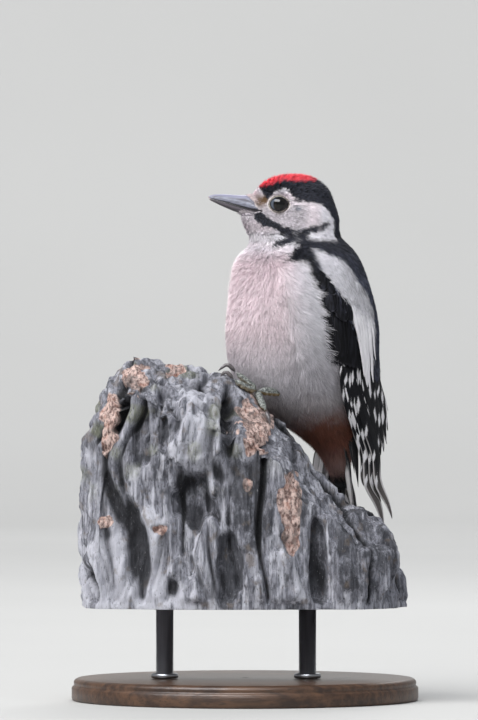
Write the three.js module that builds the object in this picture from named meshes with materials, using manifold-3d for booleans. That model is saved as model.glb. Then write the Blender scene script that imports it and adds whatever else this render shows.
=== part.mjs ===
// A young great spotted woodpecker, life size, clinging upright to a short length of weathered
// trunk that a plain display stand holds up.
//
// Millimetres, +Z up. The origin is the middle of the underside of the stand's round base.
// The bill points along -X. The body below it is turned 30 degrees towards -Y.
import * as THREE from "three";
import { mergeVertices } from "three/addons/utils/BufferGeometryUtils.js";
import Module from "manifold-3d";

const wasm = await Module();
wasm.setup();
const { Manifold } = wasm;

// ---- driving dimensions ------------------------------------------------------------------

const GAP = 0.3; // between pieces that meet
const SLACK = 0.05; // how far a face may move when needless points are dropped
const TOP_OF_HEAD = 236.7; // height of the crown over the floor
const BODY_AT = new THREE.Vector3(27, 14, 0); // the upright line through the trunk
const BODY_TURN = THREE.MathUtils.degToRad(210); // the breast's direction, from +X
const HEAD_TURN = THREE.MathUtils.degToRad(-30); // the head looks back along -X
const HEAD_AT = new THREE.Vector3(5.7, -1, TOP_OF_HEAD - 15.3); // in the body's frame

const EYE = { x: 6.3, y: 9.3, z: 2.5, radius: 4.2 };
const BILL_LENGTH = 38.25; // from the middle of the head to the tip

const TAIL = { pairs: 5, root: { x: -20.4, z: 126 }, length: 57, lean: 3.5, layer: 1.3 };

const BASE = { radius: 78, thick: 10, bevel: 1.5 };
const ROD = { radius: 4, xs: [-36, 28], y: -10 };
const PERCH = { x: -1, y: -11, bottom: 42, halfLength: 71, halfDepth: 37 };

// ---- small tools -------------------------------------------------------------------------

const { sin, cos, abs, max, sqrt, PI } = Math;
const clamp = THREE.MathUtils.clamp;
const mix = THREE.MathUtils.lerp;
const ease = (low, high, value) => THREE.MathUtils.smoothstep(value, low, high);

// A smooth curve through rows of numbers, read by the first number of each row.
function along(rows) {
  const sorted = [...rows].sort((a, b) => a[0] - b[0]);
  const keys = sorted.map((row) => row[0]);
  const size = sorted[0].length - 1;
  const curve = new THREE.CubicInterpolant(keys, sorted.flatMap((row) => row.slice(1)), size);
  const straight = new THREE.LinearInterpolant(keys, sorted.flatMap((row) => row.slice(1)), size);
  return (at) => {
    const key = clamp(at, keys[0], keys.at(-1));
    const rounded = [...curve.evaluate(key)];
    const plain = [...straight.evaluate(key)];
    return rounded.map((value, i) => (value + plain[i]) / 2);
  };
}

// A closed body: a sphere's net moved onto place(share, angle), which runs from pole to pole.
function sculpt(sides, rows, place) {
  const ball = new THREE.SphereGeometry(1, sides, rows);
  const point = ball.getAttribute("position");
  const net = ball.getAttribute("uv");
  for (let i = 0; i < point.count; i += 1) {
    const share = clamp(1 - net.getY(i), 0, 1);
    const atPole = share < 1e-6 || share > 1 - 1e-6;
    const angle = atPole ? 0 : 2 * PI * net.getX(i);
    point.setXYZ(i, ...place(share, angle % (2 * PI)));
  }
  return ball;
}

// A geometry as a solid, with its faces pointing out.
function solid(geometry) {
  const bare = geometry.clone();
  bare.deleteAttribute("normal");
  bare.deleteAttribute("uv");
  const merged = mergeVertices(bare, 1e-4);
  const corners = new Uint32Array(merged.index.array);
  const make = () =>
    new Manifold(
      new wasm.Mesh({
        numProp: 3,
        vertProperties: new Float32Array(merged.getAttribute("position").array),
        triVerts: corners,
      }),
    );
  const made = make();
  if (made.volume() > 0) return made;
  for (let i = 0; i < corners.length; i += 3) {
    [corners[i + 1], corners[i + 2]] = [corners[i + 2], corners[i + 1]];
  }
  return make();
}

function geometryOf(body) {
  const mesh = body.getMesh();
  const places = [];
  for (let i = 0; i < mesh.numVert; i += 1) {
    places.push(...mesh.vertProperties.subarray(i * mesh.numProp, i * mesh.numProp + 3));
  }
  const geometry = new THREE.BufferGeometry();
  geometry.setAttribute("position", new THREE.Float32BufferAttribute(places, 3));
  geometry.setIndex([...mesh.triVerts]);
  geometry.computeVertexNormals();
  return geometry;
}

// The largest body of a cut solid: slivers on the far side of a cut are dropped.
function mainBody(body) {
  return body.decompose().sort((a, b) => b.volume() - a.volume())[0];
}

const finish = (color, roughness, metalness = 0) =>
  new THREE.MeshStandardMaterial({ color, roughness, metalness });

const look = {
  black: finish(0x17171b, 0.55),
  white: finish(0xd6d2d4, 0.8),
  breast: finish(0xc9bdb9, 0.9),
  crown: finish(0xb3262b, 0.8),
  bill: finish(0x6b6a72, 0.45),
  eye: finish(0x120d0b, 0.05),
  scale: finish(0x7c8580, 0.6),
  claw: finish(0x2c2a30, 0.4),
  wood: finish(0x77777c, 0.9),
  base: finish(0x3a2c22, 0.5),
  steel: finish(0x8c8d90, 0.35, 1),
};

const part = new THREE.Group();
const bird = new THREE.Group();
bird.position.copy(BODY_AT);
bird.rotation.z = BODY_TURN;
const head = new THREE.Group();
head.position.copy(HEAD_AT);
head.rotation.z = HEAD_TURN;
bird.add(head);
part.add(bird);
part.updateMatrixWorld(true);

function put(group, name, body, material) {
  const mesh = new THREE.Mesh(geometryOf(mainBody(body).simplify(SLACK)), material);
  mesh.name = name;
  group.add(mesh);
}

const intoBody = (body) => body.transform(head.matrix.elements);
const intoPart = (body) => body.transform(bird.matrixWorld.elements);

// ---- trunk and neck ----------------------------------------------------------------------

// Level sections of the body: height, middle, reach to the front and back, half width, turn.
const bodyAt = along([
  [222, 9.2, 22, 9, 5, -30],
  [220, 9.4, 24.8, 14, 8.5, -30],
  [217, 7.2, 23.8, 18, 11.5, -28],
  [212, 5.0, 23.4, 20.4, 14.5, -24],
  [207, 3.6, 22.6, 20.2, 18.4, -17],
  [203, 2.6, 26.2, 21.6, 21.0, -11],
  [198, 2.1, 29.9, 23.4, 23.8, -5],
  [190, 1.3, 33.6, 25.4, 26.6, 0],
  [178, 0.7, 36.4, 28.0, 28.4, 0],
  [165, 1.0, 37.2, 29.8, 29.2, 0],
  [152, 1.4, 35.8, 29.6, 28.2, 0],
  [140, -0.5, 32.2, 27.2, 25.2, 0],
  [131, -5.0, 27.8, 22.8, 21.2, 0],
  [122, -12.4, 18.6, 14.8, 15.4, 0],
  [112, -17.0, 9.8, 8.2, 9.4, 0],
  [104, -17.8, 5.6, 4.2, 5.8, 0],
  [98, -17.8, 2.6, 1.6, 2.6, 0],
]);
const BODY_TOP = 222;
const BODY_END = 97;
const NECK_CUT = 205; // the level where the neck leaves the trunk

// A point of a level section, at an angle from the front towards the left side.
function sectionPoint(middle, front, back, half, turn, angle, grow) {
  const reach = (cos(angle) > 0 ? front : back) + grow;
  const x = reach * cos(angle);
  const y = (half + grow) * sin(angle);
  const t = THREE.MathUtils.degToRad(turn);
  return [middle + x * cos(t) - y * sin(t), x * sin(t) + y * cos(t)];
}

function bodyShape(grow = 0) {
  return solid(
    sculpt(22, 22, (share, angle) => {
      const z = mix(BODY_TOP + grow, BODY_END - grow, (1 - cos(PI * share)) / 2);
      const [middle, front, back, half, turn] = bodyAt(z);
      const closing = sqrt(1 - (2 * share - 1) ** 10);
      const size = [front, back, half].map((reach) => (reach + grow) * closing);
      return [...sectionPoint(middle, ...size, turn, angle, 0), z];
    }),
  );
}

// ---- head --------------------------------------------------------------------------------

// Upright sections of the head: place along it, top, widest level, underside, half width.
const headAt = along([
  [20.6, 4.6, 2.0, -0.4, 2.6],
  [19.6, 5.9, 1.9, -2.1, 4.6],
  [16.2, 9.2, 1.2, -5.4, 7.4],
  [13.0, 12.2, 0.0, -8.6, 9.4],
  [8.1, 14.5, -2.4, -12.4, 11.6],
  [2.5, 15.25, -3.6, -15.0, 13.2],
  [-4.5, 15.2, -3.8, -16.2, 14.1],
  [-10.0, 13.7, -3.8, -15.8, 13.7],
  [-14.4, 10.1, -3.9, -14.6, 12.1],
  [-18.0, 5.4, -4.3, -12.8, 9.2],
  [-20.2, -0.6, -5.4, -10.4, 5.4],
  [-21.6, -4.6, -6.0, -7.4, 1.2],
]);
const HEAD_FRONT = 20.6;
const HEAD_BACK = -21.6;

function headShape(grow = 0) {
  return solid(
    sculpt(18, 15, (share, angle) => {
      const x = mix(HEAD_FRONT + grow, HEAD_BACK - grow, (1 - cos(PI * share)) / 2);
      const [top, wide, bottom, half] = headAt(x);
      const closing = sqrt(1 - (2 * share - 1) ** 8);
      const reach = (cos(angle) > 0 ? top - wide : wide - bottom) + grow;
      return [x, (half + grow) * closing * sin(angle), wide + reach * closing * cos(angle)];
    }),
  );
}

// ---- bill --------------------------------------------------------------------------------

// Place along the bill, culmen, mouth line, lower edge, half width.
const billAt = along([
  [BILL_LENGTH, 5.1, 4.75, 4.4, 0.55],
  [36.6, 6.2, 4.35, 3.6, 1.25],
  [33.0, 6.45, 3.4, 1.6, 1.9],
  [29.2, 6.35, 2.4, -0.1, 2.6],
  [26.0, 6.15, 1.45, -1.45, 3.15],
  [22.0, 6.0, 0.3, -2.3, 3.85],
  [17.0, 6.1, -0.9, -2.8, 4.7],
  [14.0, 5.6, -1.5, -2.9, 4.7],
]);
const BILL_BACK = 14;

function billHalf(upper, grow = 0) {
  return solid(
    sculpt(8, 8, (share, angle) => {
      const x = mix(BILL_LENGTH - (upper ? 0 : 0.6) + grow, BILL_BACK, share);
      const [culmen, mouth, keel, half] = billAt(x);
      const edge = mouth + (upper ? GAP / 2 : -GAP / 2);
      const far = upper ? culmen : keel;
      const closing = share < 1e-6 || share > 1 - 1e-6 ? 0 : 1;
      const height = max(sin(angle) + 0.25, 0) / 1.25;
      const narrow = upper ? 1 : 0.92;
      const middle = (edge + far) / 2;
      const z = mix(middle, edge + (far - edge) * height, closing);
      return [x, (half * narrow + grow) * cos(angle) * closing, z];
    }),
  );
}

// ---- wings, scapulars and mantle -----------------------------------------------------------

// The folded wings' outer surface: height, middle, reach to the front and back, half width.
const wingAt = along([
  [209, 4.0, 23, 20.4, 19],
  [204, 2.8, 28, 24.6, 24],
  [198, 2.1, 32, 27.6, 27.6],
  [190, 1.3, 36, 30.2, 30],
  [180, 0.5, 38.8, 33.0, 31.8],
  [168, 0.8, 40.0, 36.0, 33.4],
  [157, 1.2, 39.4, 36.4, 33.0],
  [148, 0.8, 37.4, 37.0, 32.0],
  [140, -0.9, 34.4, 37.8, 30.4],
  [131, -4.4, 29.6, 37.0, 27.6],
  [122, -9.0, 24.0, 32.6, 24.0],
  [115, -12.0, 20.0, 29.4, 22.2],
  [105, -16.4, 16.0, 23.6, 20.4],
  [97, -20.6, 12.0, 21.4, 18.0],
  [88, -25.0, 10.0, 19.6, 16.4],
  [76, -29.6, 8.0, 17.0, 15.0],
]);

// A point over the wing's surface, sideways at 0 degrees and straight behind at 90.
function wingPoint(z, degrees, depth, side) {
  const [middle, front, back, half] = wingAt(z);
  const angle = THREE.MathUtils.degToRad(degrees);
  const reach = (degrees > 0 ? back : front) - depth;
  return [middle - reach * sin(angle), side * (half - depth) * cos(angle), z];
}

// A plate that lies on the wing's surface between two edges, given as degrees at a height.
function plate({ top, end, edges, thick, depth = 0, sides = 8, rows = 9, side, grow = 0 }) {
  const edgesAt = along(edges);
  const widen = grow * 1.7;
  return solid(
    sculpt(sides, rows, (share, angle) => {
      const level = mix(top + grow, end - grow, (1 - cos(PI * share)) / 2);
      const [front, rear] = edgesAt(level);
      const closing = sqrt(1 - abs(2 * share - 1) ** 5);
      const across = cos(angle) * closing;
      const degrees = mix(front - widen, rear + widen, (1 + across) / 2);
      const swell = abs(sin(angle)) ** 0.6 * sqrt(closing);
      const into = sin(angle) > 0 ? -grow * swell : (thick + grow) * swell;
      return wingPoint(level, degrees, depth + into, side);
    }),
  );
}

const MANTLE = {
  top: 208,
  end: 148,
  thick: 4.2,
  sides: 10,
  side: 1,
  edges: [
    [208, 46, 134],
    [203, 52, 128],
    [193, 61, 119],
    [180, 65, 115],
    [165, 66, 114],
    [148, 74, 106],
  ],
};
const SCAPULARS = {
  top: 205,
  end: 139,
  thick: 4,
  depth: 0.3,
  edges: [
    [205, 30, 60],
    [193, 33, 72],
    [180, 34, 78],
    [162, 30, 82],
    [150, 30, 76],
    [139, 38, 56],
  ],
};
const COVERTS = {
  top: 206,
  end: 147,
  thick: 3.6,
  depth: 0.5,
  edges: [
    [206, -34, 30],
    [199, -29, 40],
    [193, -20, 42],
    [180, -9, 44],
    [162, -2, 42],
    [147, 3, 36],
  ],
};
const SECONDARIES = {
  top: 152,
  end: 110,
  thick: 2.6,
  depth: 0.7,
  edges: [
    [152, 34, 84],
    [141, 26, 86],
    [131, 26, 84],
    [121, 28, 80],
    [114, 38, 72],
    [110, 50, 66],
  ],
};
const PRIMARIES = {
  top: 152,
  end: 98,
  thick: 2,
  depth: 0.9,
  edges: [
    [152, 4, 32],
    [138, 0, 32],
    [128, 4, 30],
    [117, 4.5, 32],
    [106, 6, 44],
    [98, 16, 44],
  ],
};
const LONG_PRIMARIES = [
  { end: 81.4, edges: [[140, 14, 20], [112, 20, 42], [97, 26, 52], [88, 20, 42], [81, 32, 40]] },
  { end: 78.3, edges: [[140, 5, 11], [112, 4, 18], [104, 5, 23], [97, 11, 24], [88, 10, 18], [78, 8, 14]] },
];
const LONG_PRIMARY = { top: 128, thick: 1.2, depth: 0.9, sides: 6, rows: 8 };

// ---- tail ----------------------------------------------------------------------------------

// One tail feather: a thin pointed vane. Pairs are numbered from the middle outwards. Each lies
// under the one before it, and the whole tail is hollow below like a shallow roof.
function tailFeather(pair, side, grow = 0) {
  const outer = pair / (TAIL.pairs - 1);
  const length = TAIL.length - 4 * outer - 11 * outer ** 3;
  const splay = THREE.MathUtils.degToRad(4.5 + 2.8 * pair);
  const lean = THREE.MathUtils.degToRad(TAIL.lean);
  return solid(
    sculpt(6, 7, (t, angle) => {
      const inside = t > 1e-6 && t < 1 - 1e-6 ? 1 : 0;
      const width = (4.4 - 0.5 * outer) * (0.45 + 0.55 * ease(0, 0.5, t)) * sqrt(1 - t ** 4);
      const across = (width + grow) * cos(angle) * inside;
      const down = length * t;
      const y = 2.6 + 1.0 * pair + down * sin(splay) + across * cos(splay);
      const roof = 0.01 * y * y + TAIL.layer * pair;
      const lift = (0.42 + grow) * sin(angle) * inside;
      const x = TAIL.root.x - down * sin(lean) + roof + lift;
      return [x, side * y, TAIL.root.z - down * cos(splay) + across * sin(splay)];
    }),
  );
}

// ---- legs ----------------------------------------------------------------------------------

// A tapering round limb through points, each with its radius.
function limb(points, grow = 0, sides = 8, rows = 8) {
  const curve = new THREE.CatmullRomCurve3(points.map(([x, y, z]) => new THREE.Vector3(x, y, z)));
  const radiusAt = along(points.map((point, i) => [i / (points.length - 1), point[3]]));
  const up = new THREE.Vector3(0, 0, 1);
  return solid(
    sculpt(sides, rows, (t, angle) => {
      const middle = curve.getPoint(t);
      const direction = curve.getTangent(t);
      const side = new THREE.Vector3().crossVectors(direction, up).normalize();
      const over = new THREE.Vector3().crossVectors(side, direction);
      const inside = t > 1e-6 && t < 1 - 1e-6;
      const radius = inside ? radiusAt(t)[0] + grow : 0;
      const push = t < 0.5 ? -grow : grow;
      middle.addScaledVector(side, radius * cos(angle));
      middle.addScaledVector(over, radius * sin(angle));
      middle.addScaledVector(direction, inside ? 0 : push);
      return middle.toArray();
    }),
  );
}

// Each foot stands on the wood: X and Y of the joints, with the height of each over the wood.
const FEET = {
  left: {
    heel: [19, -6, 138.4],
    toes: [5.4, -16.2, 1.9],
    reach: {
      inner: [[0.6, -19.6, 1.5], [-5.0, -20.4, 1.4], [-8.6, -20.6, 3.2], [-11.2, -20.4, 0.4]],
      middle: [[1.0, -16.6, 2.0], [-4.2, -16.6, 2.4], [-8.0, -17.0, 3.9], [-12.2, -17.2, 0.3]],
      outer: [[7.0, -19.4, 1.4], [9.2, -22.4, 1.2], [10.4, -24.4, 1.6], [11.2, -25.6, 0.1]],
      hind: [[6.2, -12.4, 1.2], [5.6, -9.4, 0.9], [5.2, -7.4, 1.3], [4.8, -5.6, 0.2]],
    },
  },
  right: {
    heel: [8, 14, 140],
    toes: [-6.4, 8.4, 1.9],
    reach: {
      inner: [[-9.6, 4.6, 1.5], [-12.8, 1.4, 1.3], [-14.8, -0.6, 2.6], [-16.4, -2.2, 0.3]],
      middle: [[-11.0, 7.2, 1.5], [-15.6, 6.0, 1.3], [-18.4, 5.2, 2.7], [-20.8, 4.4, 0.3]],
      outer: [[-7.4, 12.2, 1.4], [-8.8, 16.0, 1.2], [-9.8, 18.2, 1.5], [-10.6, 19.8, 0.2]],
      hind: [[-3.6, 6.0, 1.2], [-1.4, 4.2, 0.9], [0.0, 2.6, 1.2], [1.2, 1.4, 0.2]],
    },
  },
};

const onWood = ([x, y, over]) => [x, y, perchTop(x, y) + over];

const tarsusShape = (foot, grow = 0) =>
  limb([[...foot.heel, 2.1], [...onWood(foot.toes), 1.8]], grow, 7, 4);

function toeShape(foot, [via, end], grow = 0) {
  const joints = [foot.toes, via, end].map(onWood);
  return limb(joints.map((joint, i) => [...joint, 1.75 - 0.2 * i]), grow, 6, 5);
}

function clawShape([, end, bend, tip], grow = 0) {
  const joints = [end, bend, tip].map(onWood);
  return limb(joints.map((joint, i) => [...joint, [1.05, 0.9, 0.3][i]]), grow, 6, 5);
}

// ---- perch and stand -----------------------------------------------------------------------

// The broken top's crest: its height over the floor along X.
const crestAt = along([
  [-78, 112],
  [-72, 122],
  [-67, 134],
  [-63, 144],
  [-58, 151],
  [-52, 155],
  [-47, 158],
  [-42, 153],
  [-34, 153],
  [-25, 154.5],
  [-21, 149],
  [-12, 148.5],
  [-7, 147.5],
  [0, 142.5],
  [6, 137],
  [12, 131],
  [18, 126],
  [24.8, 119],
  [29, 110],
  [36, 101],
  [44, 93.5],
  [50, 88],
  [60, 85.5],
  [66, 76],
  [72, 58],
]);
const CREST_Y = -16;

function perchTop(x, y) {
  const crest = crestAt(x)[0];
  const off = y - CREST_Y;
  const lumps = 1.6 * sin(x * 0.31 + y * 0.2) + 1.2 * sin(y * 0.45 - x * 0.17);
  const fall = off < 0 ? 0.75 * -off : 0.46 * off;
  return max(crest - fall + lumps * ease(5, 16, abs(off)), PERCH.bottom + 8);
}

function perchShape() {
  const rimAt = (angle) => {
    const flute = 1 + 0.03 * sin(7 * angle + 1) + 0.02 * sin(12 * angle);
    const square = (abs(cos(angle)) ** 3 + abs(sin(angle)) ** 3) ** (-1 / 3);
    return flute * square;
  };
  const rings = 15;
  const topShare = 10 / rings;
  const sideShare = 14 / rings;
  return solid(
    sculpt(28, rings, (share, angle) => {
      const across = share < topShare ? share / topShare : 1;
      const under = share > sideShare ? (1 - share) / (1 - sideShare) : 1;
      const down = clamp((share - topShare) / (sideShare - topShare), 0, 1);
      const spread = rimAt(angle) * across * under * (1 + 0.02 * down);
      const x = PERCH.x + PERCH.halfLength * spread * cos(angle);
      const y = PERCH.y + PERCH.halfDepth * spread * sin(angle);
      return [x, y, mix(perchTop(x, y), PERCH.bottom, down)];
    }),
  );
}

function standBase() {
  const { radius, thick, bevel } = BASE;
  const outline = [
    [0, 0],
    [radius, 0],
    [radius, thick - bevel],
    [radius - bevel, thick],
    [0, thick],
  ].map(([r, z]) => new THREE.Vector2(r, z));
  return solid(new THREE.LatheGeometry(outline, 36).rotateX(PI / 2));
}

function standRod(x) {
  const length = PERCH.bottom - BASE.thick - 2 * GAP;
  const rod = new THREE.CylinderGeometry(ROD.radius, ROD.radius, length, 14).rotateX(PI / 2);
  return solid(rod.translate(x, ROD.y, BASE.thick + GAP + length / 2));
}

// ---- putting it together -------------------------------------------------------------------

const slab = (z, thick) =>
  solid(new THREE.BoxGeometry(200, 200, thick).translate(0, 0, z));
const above = (z) => slab(z + 100, 200);

// The head keeps its shape. The neck fills up to it, and the trunk starts at a level cut.
const cranium = headShape();
const sockets = [1, -1].map((side) =>
  solid(new THREE.SphereGeometry(EYE.radius + GAP, 12, 8).translate(EYE.x, side * EYE.y, EYE.z)),
);
const bills = [billHalf(true), billHalf(false)];
put(head, "head", sockets.reduce((body, socket) => body.subtract(socket), cranium), look.white);
["left", "right"].forEach((name, i) => {
  const side = i === 0 ? 1 : -1;
  const ball = new THREE.SphereGeometry(EYE.radius, 12, 8);
  put(head, `eye_${name}`, solid(ball.translate(EYE.x, side * EYE.y, EYE.z)), look.eye);
});
const aroundHead = headShape(GAP);
put(head, "bill_upper", bills[0].subtract(aroundHead), look.bill);
put(head, "bill_lower", bills[1].subtract(aroundHead), look.bill);

const wholeBody = bodyShape();
const headInBody = intoBody(aroundHead.add(billHalf(false, GAP)));
put(bird, "neck", wholeBody.intersect(above(NECK_CUT + GAP / 2)).subtract(headInBody), look.breast);
put(bird, "trunk", wholeBody.subtract(above(NECK_CUT - GAP / 2)), look.breast);

const aroundBody = bodyShape(GAP);
const keepOff = aroundBody.add(headInBody);
let underFeathers = keepOff;

// Laid on from the outermost plate inwards: each is cut back to clear those already laid.
function layFeathers(name, shape, material) {
  put(bird, name, plate(shape).subtract(underFeathers), material);
  underFeathers = underFeathers.add(plate({ ...shape, grow: GAP }));
}

layFeathers("mantle", MANTLE, look.black);
for (const [name, side] of [["left", 1], ["right", -1]]) {
  layFeathers(`scapulars_${name}`, { ...SCAPULARS, side }, look.white);
  layFeathers(`wing_${name}_coverts`, { ...COVERTS, side }, look.black);
  layFeathers(`wing_${name}_secondaries`, { ...SECONDARIES, side }, look.black);
  layFeathers(`wing_${name}_primaries`, { ...PRIMARIES, side }, look.black);
  LONG_PRIMARIES.forEach((shape, i) => {
    const feather = { ...LONG_PRIMARY, ...shape, side };
    layFeathers(`wing_${name}_long_primary_${i + 1}`, feather, look.black);
  });
}

for (const [name, side] of [["left", 1], ["right", -1]]) {
  for (let pair = 0; pair < TAIL.pairs; pair += 1) {
    const feather = tailFeather(pair, side).subtract(underFeathers);
    put(bird, `tail_${name}_${pair + 1}`, feather, pair > 2 ? look.white : look.black);
  }
}

// The feet stand on the perch, in the part's own frame. The perch is cut to clear all of them.
const bodyInPart = intoPart(aroundBody);
let grip = bodyInPart;
for (const [name, foot] of Object.entries(FEET)) {
  put(part, `leg_${name}`, tarsusShape(foot).subtract(bodyInPart), look.scale);
  let taken = tarsusShape(foot, GAP);
  grip = grip.add(taken);
  for (const [kind, joints] of Object.entries(foot.reach)) {
    const clear = taken.add(bodyInPart);
    put(part, `toe_${name}_${kind}`, toeShape(foot, joints).subtract(clear), look.scale);
    const around = toeShape(foot, joints, GAP);
    put(part, `claw_${name}_${kind}`, clawShape(joints).subtract(clear.add(around)), look.claw);
    taken = taken.add(around);
    grip = grip.add(around).add(clawShape(joints, GAP));
  }
}
for (const side of [1, -1]) {
  for (let pair = 0; pair < TAIL.pairs; pair += 1) {
    grip = grip.add(intoPart(tailFeather(pair, side, GAP)));
  }
}

put(part, "perch", perchShape().subtract(grip), look.wood);
put(part, "stand_base", standBase(), look.base);
ROD.xs.forEach((x, i) => put(part, `stand_rod_${i + 1}`, standRod(x), look.steel));

export default part;
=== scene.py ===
import itertools
import math

import bpy
import numpy as np
from mathutils.bvhtree import BVHTree
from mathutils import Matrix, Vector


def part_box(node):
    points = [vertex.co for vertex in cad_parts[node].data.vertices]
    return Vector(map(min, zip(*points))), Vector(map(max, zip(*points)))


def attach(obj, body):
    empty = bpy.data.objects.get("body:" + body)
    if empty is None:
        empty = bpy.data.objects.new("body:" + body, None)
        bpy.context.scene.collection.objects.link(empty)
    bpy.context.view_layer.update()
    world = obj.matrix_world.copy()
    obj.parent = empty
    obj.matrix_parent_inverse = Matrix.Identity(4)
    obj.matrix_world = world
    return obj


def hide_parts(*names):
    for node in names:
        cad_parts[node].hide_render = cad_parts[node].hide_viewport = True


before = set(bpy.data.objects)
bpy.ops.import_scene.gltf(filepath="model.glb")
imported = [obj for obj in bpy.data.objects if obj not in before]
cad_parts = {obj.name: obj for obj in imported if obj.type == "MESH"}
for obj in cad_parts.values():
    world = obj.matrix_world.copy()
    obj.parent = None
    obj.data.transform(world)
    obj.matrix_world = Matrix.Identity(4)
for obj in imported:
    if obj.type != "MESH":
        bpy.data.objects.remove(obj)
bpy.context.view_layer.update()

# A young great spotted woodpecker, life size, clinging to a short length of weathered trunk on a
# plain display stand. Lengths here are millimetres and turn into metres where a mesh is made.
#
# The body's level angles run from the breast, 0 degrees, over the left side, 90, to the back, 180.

MM = 0.001

# ---- driving values ----

BODY_AT = np.array([27.0, 14.0, 0.0])  # the upright line through the trunk
BODY_TURN = math.radians(210)
AHEAD = np.array([math.cos(BODY_TURN), math.sin(BODY_TURN), 0.0])  # where the breast faces
LEFTWARD = np.array([-math.sin(BODY_TURN), math.cos(BODY_TURN), 0.0])
UP = np.array([0.0, 0.0, 1.0])

EYE_AT = (6.3, 2.5)  # from the middle of the head, ahead and up
LIDS_AT = (6.2, 1.85)  # the middle of the opening between the lids
CROWN = 219.0  # level above which the skin closes over the head
SKIN_LOW = 98.0
WING_TOP, WING_LOW = 207.0, 77.0
PERCH_CUT = 44.0  # the level saw cut under the perch
CAMERA_AT = (-0.0027, -3.0, 0.153)  # metres
CAMERA_LENS = 333.3
SIDES = {"left": 1, "right": -1}
TOES = ("inner", "middle", "outer", "hind")

FLIGHT_NODES = ("secondaries", "primaries", "long_primary_1", "long_primary_2")
WING_NODES = ["mantle", *(f"scapulars_{side}" for side in SIDES),
              *(f"wing_{side}_{kind}" for side in SIDES for kind in ("coverts", *FLIGHT_NODES))]
FLESH = ("head", "neck", "trunk", "mantle", "scapulars_left", "scapulars_right",
         "wing_left_coverts", "wing_right_coverts")
PALETTE = {
    "white": (248, 246, 252),
    "buff": (240, 222, 228),
    "grey": (150, 153, 164),
    "brown": (120, 94, 68),
    "rust": (146, 92, 74),
    "dark": (22, 22, 27),
    "red": (255, 84, 98),
}
TINTS = list(PALETTE)[1:]  # laid in this order over the white
# Painted sheen: a blue-grey highlight laid over the tips of black feathers.
SHEEN_TINT = (106, 110, 132)  # the sheen of black feathers


# ---- small tools ----

def unit(vectors):
    return vectors / np.maximum(np.linalg.norm(vectors, axis=-1, keepdims=True), 1e-9)


def ease(low, high, value):
    share = np.clip((value - low) / (high - low), 0, 1)
    return share * share * (3 - 2 * share)


def mixed(first, second, share):
    return first + (second - first) * share


def along(rows):
    """A smooth curve through rows of numbers, read by the first number of each row."""
    table = np.array(sorted(rows), float)
    keys, values = table[:, 0], table[:, 1:]
    slopes = np.gradient(values, keys, axis=0)

    def read(at):
        at = np.clip(np.asarray(at, float), keys[0], keys[-1])
        i = np.clip(np.searchsorted(keys, at) - 1, 0, len(keys) - 2)
        span = (keys[i + 1] - keys[i])[..., None]
        t = (at - keys[i])[..., None] / span
        rise = values[i + 1] - values[i]
        bend = t * (1 - t) * ((1 - t) * (slopes[i] * span - rise) - t * (slopes[i + 1] * span - rise))
        result = values[i] + rise * t + bend
        return result[..., 0] if values.shape[1] == 1 else result

    return read


def noise(points, lump, seed=0):
    """Smooth noise from -1 to 1, with lumps of that size in millimetres."""
    grid = points / lump + 31.7 * seed  # another seed reads another stretch of the same field
    cell = np.floor(grid).astype(np.int64)
    t = grid - cell
    t = t * t * (3 - 2 * t)
    total = np.zeros(points.shape[:-1])
    # Each corner of a cell has its own number, made by mixing the bits of its place.
    for corner in itertools.product((0, 1), repeat=3):
        at = (cell + np.array(corner)).astype(np.uint32)
        key = at[..., 0] * np.uint32(374761393) + at[..., 1] * np.uint32(668265263)
        key = key + at[..., 2] * np.uint32(2246822519)
        key = (key ^ (key >> np.uint32(13))) * np.uint32(1274126177)
        key = key ^ (key >> np.uint32(16))
        share = np.prod(np.where(np.array(corner) == 1, t, 1 - t), axis=-1)
        total += share * (key / 2147483648.0 - 1)
    return total


def body_direction(angle, rise=0.0):
    """Unit vector at a level angle round the body, in degrees, tilted up by rise degrees."""
    turn, tilt = np.radians(angle)[..., None], np.radians(rise)[..., None]
    level = AHEAD * np.cos(turn) + LEFTWARD * np.sin(turn)
    return level * np.cos(tilt) + UP * np.sin(tilt)


# ---- meshes ----

def place_in_scene(name, content):
    made = bpy.data.objects.new(name, content)
    bpy.context.scene.collection.objects.link(made)
    return made


def make_piece(name, points, faces, finish, replaced=(), values=None, patch=None):
    """A piece of the bird or its mount: points in millimetres, faces as arrays of corners."""
    mesh = bpy.data.meshes.new(name)
    points = np.asarray(points)
    faces = [np.asarray(block) for block in faces if len(block)]
    corners = np.concatenate([block.ravel() for block in faces]).astype(np.int32)
    totals = np.concatenate([np.full(len(block), block.shape[1]) for block in faces])
    starts = np.concatenate([[0], np.cumsum(totals)[:-1]]).astype(np.int32)
    mesh.vertices.add(points.size // 3)
    mesh.vertices.foreach_set("co", (points * MM).astype(np.float32).ravel())
    mesh.loops.add(len(corners))
    mesh.loops.foreach_set("vertex_index", corners)
    mesh.polygons.add(len(starts))
    mesh.polygons.foreach_set("loop_start", starts)
    mesh.update(calc_edges=True)
    mesh.polygons.foreach_set("use_smooth", np.ones(len(starts), bool))
    for key, numbers in (values or {}).items():
        numbers = np.broadcast_to(numbers, points.shape[:-1]).astype(np.float32)
        mesh.attributes.new(key, "FLOAT", "POINT").data.foreach_set("value", numbers.ravel())
    if patch is not None:
        patch = patch.reshape(-1, 2)
        low, high = patch.min(axis=0), patch.max(axis=0)
        patch = 0.005 + 0.99 * (patch - low) / (high - low)
        unwrap = mesh.uv_layers.new(name="OFBake")
        unwrap.data.foreach_set("uv", patch[corners].astype(np.float32).ravel())
    mesh.materials.append(finish.material)
    piece = place_in_scene(name, mesh)
    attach(piece, "root")
    if replaced:
        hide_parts(*replaced)


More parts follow.
